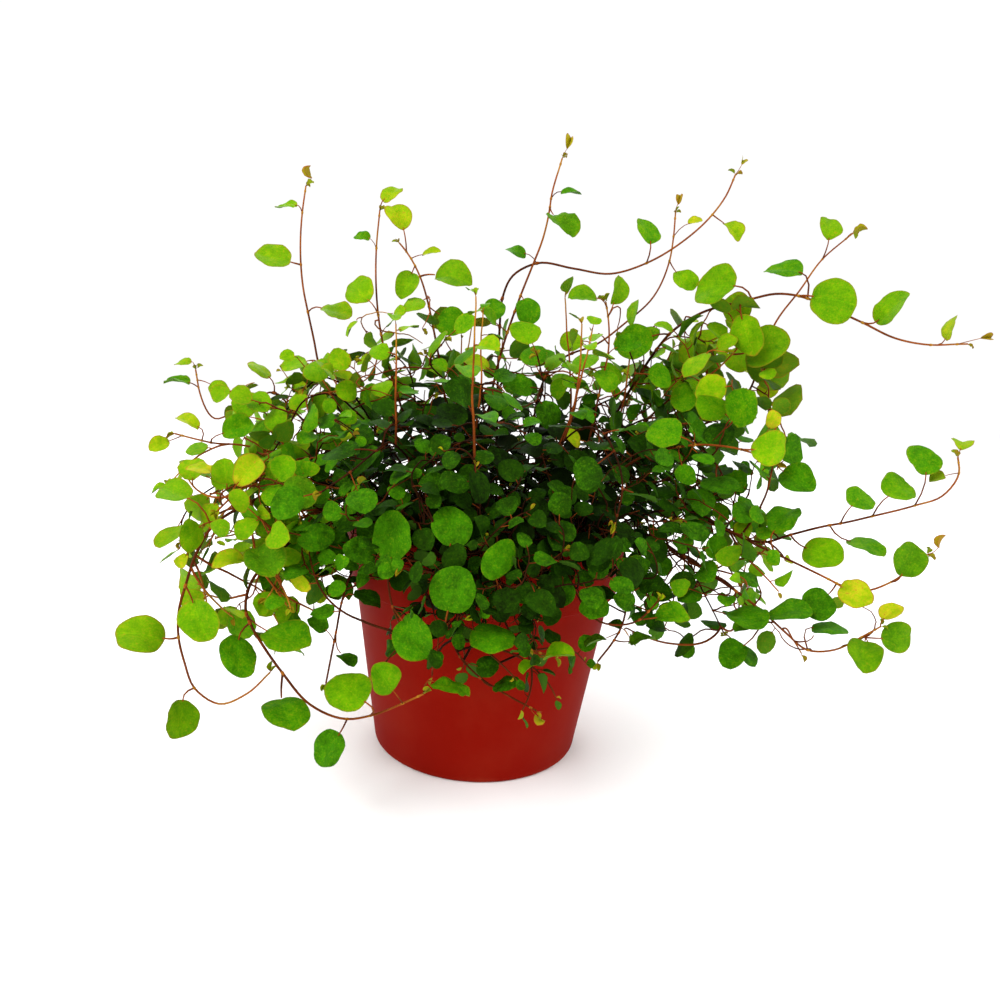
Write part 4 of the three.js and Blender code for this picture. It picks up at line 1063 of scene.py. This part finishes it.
# The front skirt's shoots get low bark ages, which paint them darker, as shade.
LOOSE_SHOOTS = {  # where they grow: (how many, bark age at the foot, bark age at the tip, leaf spacing)
    "left_skirt": (30, 0.75, 1.0, (7 * MM, 14 * MM)),
    "right_skirt": (14, 0.45, 0.8, (9 * MM, 17 * MM)),
    "right_low": (3, 0.6, 1.0, (9 * MM, 17 * MM)),
    "front_skirt": (14, 0.25, 0.6, (5 * MM, 9 * MM)),
}
LOOSE_LENGTH = (40 * MM, 95 * MM)
LOOSE_RADIUS_OLD = 0.52 * MM
LOOSE_RADIUS_YOUNG = 0.3 * MM
LOOSE_BARE = 0.15  # they carry fewer leaves than the twigs around them
SHORTEST_LOOP = 9  # steps
LOOP_FLOOR = 52 * MM


def grow_loop(start, heading, length, axis, turn):
    """The points of a loose shoot that winds in wide loops and sinks a little."""
    points = [start]
    for _ in range(round(length / TWIG_STEP)):
        heading = Matrix.Rotation(turn, 3, axis) @ heading + any_turn() * 0.06 + Vector((0, 0, -0.02))
        heading.normalize()
        there = points[-1] + heading * TWIG_STEP
        beside_pot = there.xy.length > RIM_RADIUS + POT_CLEARANCE
        clear = beside_pot and there.z > LOOP_FLOOR and there.y > FRONT_REACH
        if not clear or mound_share(there).length > 1.12 or not air.wire_fits([there]):
            break
        points.append(there)
    return points


loose_lines = []
for mass, (wanted, foot_age_and_light, tip_age_and_light, spacing) in LOOSE_SHOOTS.items():
    starts = [here for line in stem_lines.values() for here in line[8:]
              if mass_share(here)[0] == mass and here.xy.length > RIM_RADIUS + 4 * MM]
    for attempt in range(wanted * 6):
        if wanted == 0:
            break
        heading = (any_turn() + Vector((0, 0, -0.3))).normalized()
        turn = rng.choice((-1, 1)) * rng.uniform(0.06, 0.2)
        points = grow_loop(rng.choice(starts), heading, rng.uniform(*LOOSE_LENGTH), any_turn(), turn)
        if len(points) > SHORTEST_LOOP:
            air.take_wire(points)
            loose_lines.append((points, foot_age_and_light, tip_age_and_light))
            leaf_twig(points, spacing, LOOSE_BARE)
            wanted -= 1

CROWN_SHOOTS = 9
CROWN_LENGTH = (38 * MM, 62 * MM)
CROWN_SPACING = (8 * MM, 15 * MM)
CROWN_STARTS = ((-38, 62), (-200, 6), (136, 152))  # from where to where along X, Y and Z, in mm
CROWN_BARK = (0.62, 1.0)  # ages at the foot and at the tip
CROWN_BARE = -0.35  # they carry more leaves than the twigs around them
SHORTEST_UPRIGHT = 11  # steps


def starts_at_crown(here):
    """Whether a point of a stem is in the top of the mound, over the front half of the pot."""
    return all(low * MM < c < high * MM for c, (low, high) in zip(here, CROWN_STARTS))


def grow_upright(start, heading, length):
    """The points of a young shoot that rises from the crown into the light."""
    points = [start]
    for _ in range(round(length / TWIG_STEP)):
        heading = (heading + any_turn() * 0.07 + Vector((0, 0, 0.03))).normalized()
        there = points[-1] + heading * TWIG_STEP
        if not air.wire_fits([there]):
            break
        points.append(there)
    return points


crown_starts = [here for line in stem_lines.values() for here in line if starts_at_crown(here)]
upright_shoots = 0
for attempt in range(CROWN_SHOOTS * 8):
    if upright_shoots == CROWN_SHOOTS:
        break
    heading = (Vector((0, 0, 1)) + any_turn() * 0.35).normalized()
    points = grow_upright(rng.choice(crown_starts), heading, rng.uniform(*CROWN_LENGTH))
    if len(points) > SHORTEST_UPRIGHT:
        air.take_wire(points)
        loose_lines.append((points, *CROWN_BARK))
        leaf_twig(points, CROWN_SPACING, CROWN_BARE)
        upright_shoots += 1

# Twig bark takes painted light and shade from light_at at its two ends.
twig_wires = []
for points in twig_lines:
    foot_age_and_light, tip_age_and_light = (light_at(end) for end in (points[0], points[-1]))
    twig_wires.append(wire(points, TWIG_RADIUS_OLD, TWIG_RADIUS_YOUNG, 0.12 + 0.8 * foot_age_and_light, 0.25 + 0.9 * tip_age_and_light))
for points, foot_age_and_light, tip_age_and_light in loose_lines:
    twig_wires.append(wire(points, LOOSE_RADIUS_OLD, LOOSE_RADIUS_YOUNG, foot_age_and_light, tip_age_and_light))
twigs = grown(wire_lines("vine_twigs", twig_wires), wire_tree, Sides=TWIG_SIDES, Material=bark)
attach(twigs, "root")


# Leaf blades
# Round, leathery leaves, each a thin closed blade with a slight fold down its middle. A few outlines
# are moulded once, then set on every stalk, where fold, cup and waves differ from leaf to leaf.
BLADE_HALF_THICKNESS = 0.012  # in leaf widths, like the other sizes of the outlines below
OUTLINES = {  # name: (length, narrow end, shoulders, point, notch)
    "round": (0.00, 0.00, 0.00, 0.02, 0.02),
    "broad": (-0.05, -0.02, 0.01, 0.01, 0.04),
    "oval": (0.05, 0.03, -0.01, 0.04, 0.00),
    "pointed": (0.02, 0.05, 0.00, 0.10, 0.01),
    "shouldered": (-0.02, -0.05, 0.035, 0.02, 0.05),
    "heart": (-0.03, 0.06, 0.02, 0.05, 0.07),
}
OUTLINE_SHARES = (50, 20, 14, 5, 7, 4)  # how often each is met, in their order
RIM_POINTS_SHOWN = 32
RIM_POINTS_MOUND = 16
RIM_POINTS_SMALL = 12


def outline_radius(angle, length, narrow, shoulders, point, notch):
    """How far the rim is from the blade's middle, at an angle from the stalk."""
    swell = 1 + length * math.cos(2 * angle) + narrow * math.cos(angle) + shoulders * math.cos(3 * angle)
    radius = 0.49 * swell
    from_tip = math.pi - abs((angle + math.pi) % (2 * math.pi) - math.pi)
    from_stalk = math.pi - from_tip
    radius += 0.49 * point * math.exp(-(from_tip / 0.28) ** 2)
    return radius - 0.49 * notch * math.exp(-(from_stalk / 0.3) ** 2)


def blade_shape(name, outline, rim_points):
    """One blade, 1 wide, from the stalk at the origin along Y, with its upper side towards Z."""
    vertices, own, rim_shares, rings = [], [], [], []
    count, shrink = rim_points, 1.0
    while count >= 6:
        top, bottom = [], []
        for k in range(count):
            angle = 2 * math.pi * k / count
            radius = outline_radius(angle, *outline) * shrink
            u = radius * math.sin(angle)
            v = 0.48 - radius * math.cos(angle)
            thickness = BLADE_HALF_THICKNESS * math.sqrt(1 - shrink ** 4)
            for side, ring in ((1, top), (-1, bottom)):
                if side == -1 and not rings:
                    ring.append(top[k])  # the two sides meet at the rim
                    continue
                ring.append(len(vertices))
                vertices.append((u, v, side * thickness))
                own.append((u, v, side if rings else 0))
                rim_shares.append(shrink)
        rings.append((top, bottom))
        shrink *= 0.6 if count > 8 else 0.5
        count //= 2
    faces = []
    for (top, bottom), (inner_top, inner_bottom) in zip(rings, rings[1:]):
        for outer, inner, up in ((top, inner_top, True), (bottom, inner_bottom, False)):
            n = len(inner)
            for k in range(n):
                a, b, c = outer[2 * k], outer[2 * k + 1], outer[(2 * k + 2) % (2 * n)]
                d, e = inner[k], inner[(k + 1) % n]
                corners = [(a, b, d), (b, e, d), (b, c, e)]
                faces += corners if up else [tuple(reversed(f)) for f in corners]
    for ring, side in zip(rings[-1], (1, -1)):
        middle = len(vertices)
        vertices.append((0, 0.48, side * BLADE_HALF_THICKNESS))
        own.append((0, 0.48, side))
        rim_shares.append(0)
        for k in range(len(ring)):
            corners = (ring[k], ring[(k + 1) % len(ring)], middle)
            faces.append(corners if side == 1 else tuple(reversed(corners)))
    mesh = bpy.data.meshes.new(name)
    mesh.from_pydata(vertices, [], faces)
    give(mesh, "blade", "FLOAT_VECTOR", own)
    give(mesh, "rim", "FLOAT", rim_shares)
    return bpy.data.objects.new(name, mesh)


def blade_set(name, rim_points):
    """A collection with one blade of each outline, outside the scene."""
    shapes = bpy.data.collections.new(name)
    for k, (outline_name, outline) in enumerate(OUTLINES.items()):
        shapes.objects.link(blade_shape(f"{name}_{k}_{outline_name}", outline, rim_points))
    return shapes


def blade_points(name, leaves):
    """One point for each leaf, with all that its blade is made from."""
    piece = new_piece(name, [leaf["base"] for leaf in leaves])
    for key in ("along", "facing"):
        give(piece.data, key, "FLOAT_VECTOR", [leaf[key] for leaf in leaves])
    for key in ("width", "age", "blush", "fold", "cup", "wave", "twist", "skew", "slim", "seed", "shape"):
        give(piece.data, key, "FLOAT", [leaf[key] for leaf in leaves])
    return piece


def dress_leaf(leaf, fold, cup, wave):
    """Gives a leaf the rest of what makes it differ from its neighbours."""
    leaf.setdefault("slim", abs(rng.gauss(0, 0.06)))
    leaf["shape"] = rng.choices(range(len(OUTLINES)), weights=OUTLINE_SHARES)[0]
    leaf["seed"] = rng.random()
    leaf["fold"] = rng.uniform(*fold)
    leaf["cup"] = rng.uniform(*cup)
    leaf["wave"] = rng.uniform(*wave)
    leaf["twist"] = rng.gauss(0, 0.3)
    leaf["skew"] = rng.gauss(0, 0.14)
    leaf.setdefault("blush", max(0.0, leaf["age"] - 0.6) * rng.random())


leaf_tree, given, out = new_tree("leaf_blades", {"Blade Shapes": "Collection", "Material": "Material"})
shapes = add(leaf_tree, "GeometryNodeCollectionInfo", {
    "Collection": given["Blade Shapes"], "Separate Children": True, "Reset Children": True})
lie = add(leaf_tree, "FunctionNodeAxesToRotation", {
    "Primary Axis": named_value(leaf_tree, "facing", "FLOAT_VECTOR"),
    "Secondary Axis": named_value(leaf_tree, "along", "FLOAT_VECTOR")}, primary_axis="Z", secondary_axis="Y")
which = add(leaf_tree, "FunctionNodeFloatToInt", {"Float": named_value(leaf_tree, "shape")}).outputs[0]
points = add(leaf_tree, "GeometryNodeMeshToPoints", {"Mesh": given["Geometry"]}).outputs["Points"]
placed = add(leaf_tree, "GeometryNodeInstanceOnPoints", {
    "Points": points, "Instance": shapes.outputs["Instances"], "Pick Instance": True,
    "Instance Index": which, "Rotation": lie.outputs["Rotation"],
    "Scale": named_value(leaf_tree, "width")}).outputs["Instances"]
flat = add(leaf_tree, "GeometryNodeRealizeInstances", {"Geometry": placed}).outputs["Geometry"]


def sum_of(tree, *terms):
    """Adds the products of a tree's sockets and numbers: each term is a list of factors."""
    total = None
    for factors in terms:
        product = factors[0]
        for factor in factors[1:]:
            product = worked_out(tree, "MULTIPLY", product, factor)
        total = product if total is None else worked_out(tree, "ADD", total, product)
    return total


across = add(leaf_tree, "ShaderNodeSeparateXYZ", {"Vector": named_value(leaf_tree, "blade", "FLOAT_VECTOR")})
u, v = across.outputs["X"], across.outputs["Y"]
side = worked_out(leaf_tree, "ABSOLUTE", u)
from_middle = sum_of(leaf_tree, [v, 1.0], [-0.48, 1.0])
seed = named_value(leaf_tree, "seed")
where = add(leaf_tree, "ShaderNodeCombineXYZ", {
    "X": u, "Y": v, "Z": sum_of(leaf_tree, [seed, 40.0])}).outputs[0]
centred = sum_of(leaf_tree, [cloudy(leaf_tree, where, 3.2, 1.0), 1.0], [-0.5, 1.0])
fold, cup, wave, twist, skew, slim = (
    named_value(leaf_tree, name) for name in ("fold", "cup", "wave", "twist", "skew", "slim"))
rise = sum_of(leaf_tree, [side, fold], [from_middle, from_middle, cup, -1.0], [u, u, cup, -0.6],
              [centred, wave], [u, from_middle, twist])
uneven = sum_of(leaf_tree, [cloudy(leaf_tree, where, 2.0, 0.5), 0.34], [-0.17, 1.0])
aside = sum_of(leaf_tree, [u, uneven], [v, v, skew], [u, slim, -1.0])
onward = sum_of(leaf_tree, [from_middle, uneven])
facing = named_value(leaf_tree, "facing", "FLOAT_VECTOR")
along = named_value(leaf_tree, "along", "FLOAT_VECTOR")
beside = add(leaf_tree, "ShaderNodeVectorMath", {0: along, 1: facing}, operation="CROSS_PRODUCT").outputs[0]
offset = None
for way, share in ((facing, rise), (beside, aside), (along, onward)):
    length = sum_of(leaf_tree, [share, named_value(leaf_tree, "width")])
    part = add(leaf_tree, "ShaderNodeVectorMath", {0: way, "Scale": length}, operation="SCALE").outputs[0]
    offset = part if offset is None else add(
        leaf_tree, "ShaderNodeVectorMath", {0: offset, 1: part}, operation="ADD").outputs[0]
bent = add(leaf_tree, "GeometryNodeSetPosition", {"Geometry": flat, "Offset": offset}).outputs["Geometry"]
soft = add(leaf_tree, "GeometryNodeSetShadeSmooth", {"Geometry": bent}).outputs["Geometry"]
SHARP_EDGE = 1.2  # radians
edge_angle = add(leaf_tree, "GeometryNodeInputMeshEdgeAngle").outputs["Unsigned Angle"]
on_rim = add(leaf_tree, "FunctionNodeCompare", {
    "A": edge_angle, "B": SHARP_EDGE}, operation="GREATER_THAN").outputs[0]
crisp = add(leaf_tree, "GeometryNodeSetShadeSmooth", {
    "Geometry": soft, "Selection": on_rim, "Shade Smooth": False}, domain="EDGE").outputs["Geometry"]
end_tree(leaf_tree, given, out, crisp)

# Leaf green by age and painted light: dark and dull inside the mound as painted shade, fresh green outside,
# lime at the tips, with a fine mottle, a pale midrib and side veins, a brownish rim on young leaves and a
# paler, duller underside.
LEAF_AGES_AND_LIGHT = {
    0.0: (0.0025, 0.0065, 0.001, 1),
    0.25: (0.0115, 0.047, 0.0012, 1),
    0.5: (0.041, 0.175, 0.0015, 1),
    0.75: (0.13, 0.31, 0.0015, 1),
    0.9: (0.27, 0.4, 0.003, 1),
    1.0: (0.45, 0.44, 0.01, 1),
}
LEAF_BLUSH = (0.3, 0.1, 0.012, 1)
LEAF_UNDERSIDE = (0.06, 0.15, 0.012, 1)

leaf_green, tree, shader = new_material(
    "leaf_green", Roughness=0.6, Specular_IOR_Level=0.05, Specular_Tint=(0.6, 1, 0.1, 1))
place = add(tree, "ShaderNodeTexCoord").outputs["Object"]
cells = cloudy(tree, place, 1300, 4, 0.7)
clouds = cloudy(tree, place, 130, 2)
blotches = cloudy(tree, place, 420, 3)
blade = add(tree, "ShaderNodeSeparateXYZ", {"Vector": own_value(tree, "blade", "Vector")})
u, v, over = blade.outputs["X"], blade.outputs["Y"], blade.outputs["Z"]
side = worked_out(tree, "ABSOLUTE", u)
# The age value that picks the green also carries painted light and shade.
ripe_and_lit = sum_of(tree, [own_value(tree, "age"), 1.0], [own_value(tree, "seed"), 0.08],
              [clouds, 0.3], [blotches, 0.3], [cells, 0.45], [-0.565, 1.0])
green = colour_ramp(tree, ripe_and_lit, LEAF_AGES_AND_LIGHT)
midrib = ranged(tree, side, 0.016, 0.006)
climb = sum_of(tree, [v, 7.0], [side, -6.0])
ribs = ranged(tree, worked_out(tree, "PINGPONG", climb, 1.0), 0.1, 0.0)
veins = sum_of(tree, [midrib, 0.16], [ribs, 0.07])
paler = sum_of(tree, [veins, 0.9], [1.0, 1.0])
veined = add(tree, "ShaderNodeVectorMath", {0: green, "Scale": paler}, operation="SCALE").outputs[0]
under = ranged(tree, over, -0.05, -0.15, high=0.5)
two_sided = add(tree, "ShaderNodeMix", {0: under, 6: veined, 7: LEAF_UNDERSIDE}, data_type="RGBA").outputs[2]
rim = ranged(tree, own_value(tree, "rim"), 0.9, 1.0)
blush = own_value(tree, "blush")
specks = ranged(tree, cells, 0.55, 0.7)
sunned = ranged(tree, ripe_and_lit, 0.42, 0.85)
tint = sum_of(tree, [rim, sunned, 0.6], [rim, blush, 1.0], [blush, 0.55], [specks, ripe_and_lit, ripe_and_lit, 0.8])
finished = add(tree, "ShaderNodeMix", {0: tint, 6: two_sided, 7: LEAF_BLUSH}, data_type="RGBA").outputs[2]
tree.links.new(finished, shader.inputs["Base Color"])
emboss(tree, shader, sum_of(tree, [cells, 1.0], [veins, -1.2]), 0.2, 0.1 * MM)

PALE_LEAVES = {  # more pale leaves, by their number from the root
    "vine_left_low": (1,), "vine_left_tall": (0,), "vine_wave_far": (3,), "vine_centre_tall": (4, 5, 7),
    "vine_mid_right": (3, 6), "vine_wave_near": (9,),
}
BUD_WIDTH = 6.5 * MM
YOUNG_WIDTH = 9 * MM
BUD_REACH = 8 * MM  # from the end of the stem
YOUNG_REACH = 22 * MM

shown_leaves, mound_leaves = [], []
# The age values of these leaves come mostly from light_at's painted light and shade.
for name, (points, leaves) in vines.items():
    root, end = points[0], points[-1]
    for number, leaf in enumerate(leaves):
        away = (leaf["foot"] - root).length / ((end - root).length + 40 * MM)
        if number in PALE_LEAVES.get(name, ()):
            leaf["age"] = rng.uniform(0.8, 0.93)
            leaf["blush"] = 0.15
        if leaf["shown"]:
            small = leaf["width"] < YOUNG_WIDTH
            lit = 0.13 + 0.62 * light_at(leaf["base"]) + 0.1 * min(1.0, away)
            leaf.setdefault("age", min(OLDEST_GREEN, lit + rng.gauss(0, 0.05) + (0.15 if small else 0)))
            from_end = (leaf["foot"] - end).length
            if leaf["width"] < BUD_WIDTH and from_end < BUD_REACH:
                leaf.update(age=0.9, blush=rng.uniform(0.6, 1.2), slim=0.4)
                dress_leaf(leaf, (0.9, 1.3), (0.3, 0.8), (0.2, 0.4))
            elif from_end < YOUNG_REACH:
                leaf["slim"] = rng.uniform(0.05, 0.25)
                leaf.setdefault("blush", rng.uniform(0.0, 0.5) if small else 0.08)
                dress_leaf(leaf, (0.2, 0.6), (0.2, 0.6), (0.1, 0.3))
            else:
                dress_leaf(leaf, (0.05, 0.3), (0.0, 0.4), (0.1, 0.26))
            shown_leaves.append(leaf)
        else:
            leaf.setdefault("age", min(OLDEST_GREEN, light_at(leaf["base"]) + rng.gauss(0, 0.05)))
            dress_leaf(leaf, (0.05, 0.25), (0.0, 0.4), (0.05, 0.2))
            mound_leaves.append(leaf)
for leaf in small_leaves:
    dress_leaf(leaf, (0.05, 0.5), (0.0, 0.6), (0.1, 0.3))

# The growing tips: a few tiny folded leaves, still bronze, around the end of each shoot.
tip_leaves = []
shoot_ends = [(line[-1], line[-1] - line[-3], 3) for line in stem_lines.values()]
shoot_ends += [(points[-1], points[-1] - points[-3], 1) for points, _, _ in loose_lines]
shoot_ends += [(points[-1], points[-1] - points[-3], 2) for points in twig_lines if rng.random() < 0.25]
for end, heading, count in shoot_ends:
    for k in range(count):
        way = (heading.normalized() + any_turn() * 0.7).normalized()
        leaf = new_leaf(end, way, rng.uniform(1.8, 3.8) * MM, rng.uniform(0.4, 1.4) * MM, 0.82)
        leaf.update(blush=rng.uniform(0.2, 1.1), slim=rng.uniform(0.3, 0.5))
        if air.blade_fits(leaf):
            dress_leaf(leaf, (0.7, 1.3), (0.2, 0.8), (0.1, 0.4))
            tip_leaves.append(leaf)

for name, leaves, rim_points in (
    ("leaves_large", shown_leaves, RIM_POINTS_SHOWN),
    ("leaves_mound", mound_leaves, RIM_POINTS_MOUND),
    ("leaves_small", small_leaves, RIM_POINTS_SMALL),
    ("leaves_at_tips", tip_leaves, RIM_POINTS_SMALL),
):
    shapes = blade_set(f"{name}_outlines", rim_points)
    piece = grown(blade_points(name, leaves), leaf_tree, Blade_Shapes=shapes, Material=leaf_green)
    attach(piece, "root")


# Leaf stalks
# Each leaf hangs on a thin, slightly bent stalk of the same bark as its stem. It runs from the knot
# on the stem a little way into the midrib, and turns paler towards the blade.
STALK_THICK = 0.027  # in leaf widths
STALK_SIDES = 4


def stalk_wire(leaf):
    """The wire from a leaf's knot to a little way into its blade."""
    foot, base, along = leaf["foot"], leaf["base"], leaf["along"]
    reach = (base - foot).length
    elbow = base - along * reach * 0.45
    inside = base + along * leaf["width"] * 0.06
    bend = [foot * (1 - t) ** 2 + elbow * 2 * t * (1 - t) + base * t * t for t in (0, 0.35, 0.7, 1)]
    thick = (0.1 * MM + leaf["width"] * STALK_THICK) * 0.8
    # The stalk's bark follows its leaf's age value, painted light and shade included.
    return wire([*bend, inside], thick, thick * 0.6, 0.45 + leaf["age"] * 0.3, 0.6 + leaf["age"] * 0.35)


every_leaf = shown_leaves + mound_leaves + small_leaves + tip_leaves
stalks = wire_lines("leaf_stalks", [stalk_wire(leaf) for leaf in every_leaf])
stalks = grown(stalks, wire_tree, Sides=STALK_SIDES, Material=bark)
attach(stalks, "root")


# Knots
# A stem thickens a little where a leaf leaves it, inside a short papery collar of paler brown. Each
# knot is a small ball, stretched along the stem that it sits on.
KNOT_SWELLING = 1.45
KNOT_LENGTH = 2.6
KNOT_SIDES = 6

# Each knot's bark follows its stem's age value, painted shade included, made paler.
knot_places, knot_ways, knot_radii, knot_ages_and_light = [], [], [], []
for one, (name, line) in zip(main_wires, stem_lines.items()):
    for leaf in vines[name][1]:
        k = min(range(1, len(line) - 1), key=lambda k: (line[k] - leaf["foot"]).length)
        knot_places.append(line[k])
        knot_ways.append((line[k + 1] - line[k - 1]).normalized())
        knot_radii.append(one["radii"][k])
        knot_ages_and_light.append(min(1.0, one["ages_and_light"][k] + 0.3))
knots = new_piece("stem_knots", knot_places)
give(knots.data, "way", "FLOAT_VECTOR", knot_ways)
give(knots.data, "stem_radius", "FLOAT", knot_radii)
give(knots.data, "age", "FLOAT", knot_ages_and_light)

knot_tree, given, out = new_tree("knots_on_stems", {
    "Swelling": "Float", "Length": "Float", "Sides": "Int", "Material": "Material"})
ball = add(knot_tree, "GeometryNodeMeshUVSphere", {"Segments": given["Sides"], "Rings": 4, "Radius": 1.0})
points = add(knot_tree, "GeometryNodeMeshToPoints", {"Mesh": given["Geometry"]}).outputs["Points"]
lie = add(knot_tree, "FunctionNodeAlignRotationToVector", {
    "Vector": named_value(knot_tree, "way", "FLOAT_VECTOR")}, axis="Z").outputs["Rotation"]
radius = named_value(knot_tree, "stem_radius")
wide = sum_of(knot_tree, [radius, given["Swelling"]])
long = sum_of(knot_tree, [radius, given["Length"]])
size = add(knot_tree, "ShaderNodeCombineXYZ", {"X": wide, "Y": wide, "Z": long}).outputs["Vector"]
placed = add(knot_tree, "GeometryNodeInstanceOnPoints", {
    "Points": points, "Instance": ball.outputs["Mesh"], "Rotation": lie, "Scale": size}).outputs["Instances"]
solid = add(knot_tree, "GeometryNodeRealizeInstances", {"Geometry": placed}).outputs["Geometry"]
soft = add(knot_tree, "GeometryNodeSetShadeSmooth", {"Geometry": solid}).outputs["Geometry"]
end_tree(knot_tree, given, out, soft)
knots = grown(knots, knot_tree, Swelling=KNOT_SWELLING, Length=KNOT_LENGTH, Sides=KNOT_SIDES, Material=bark)
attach(knots, "root")
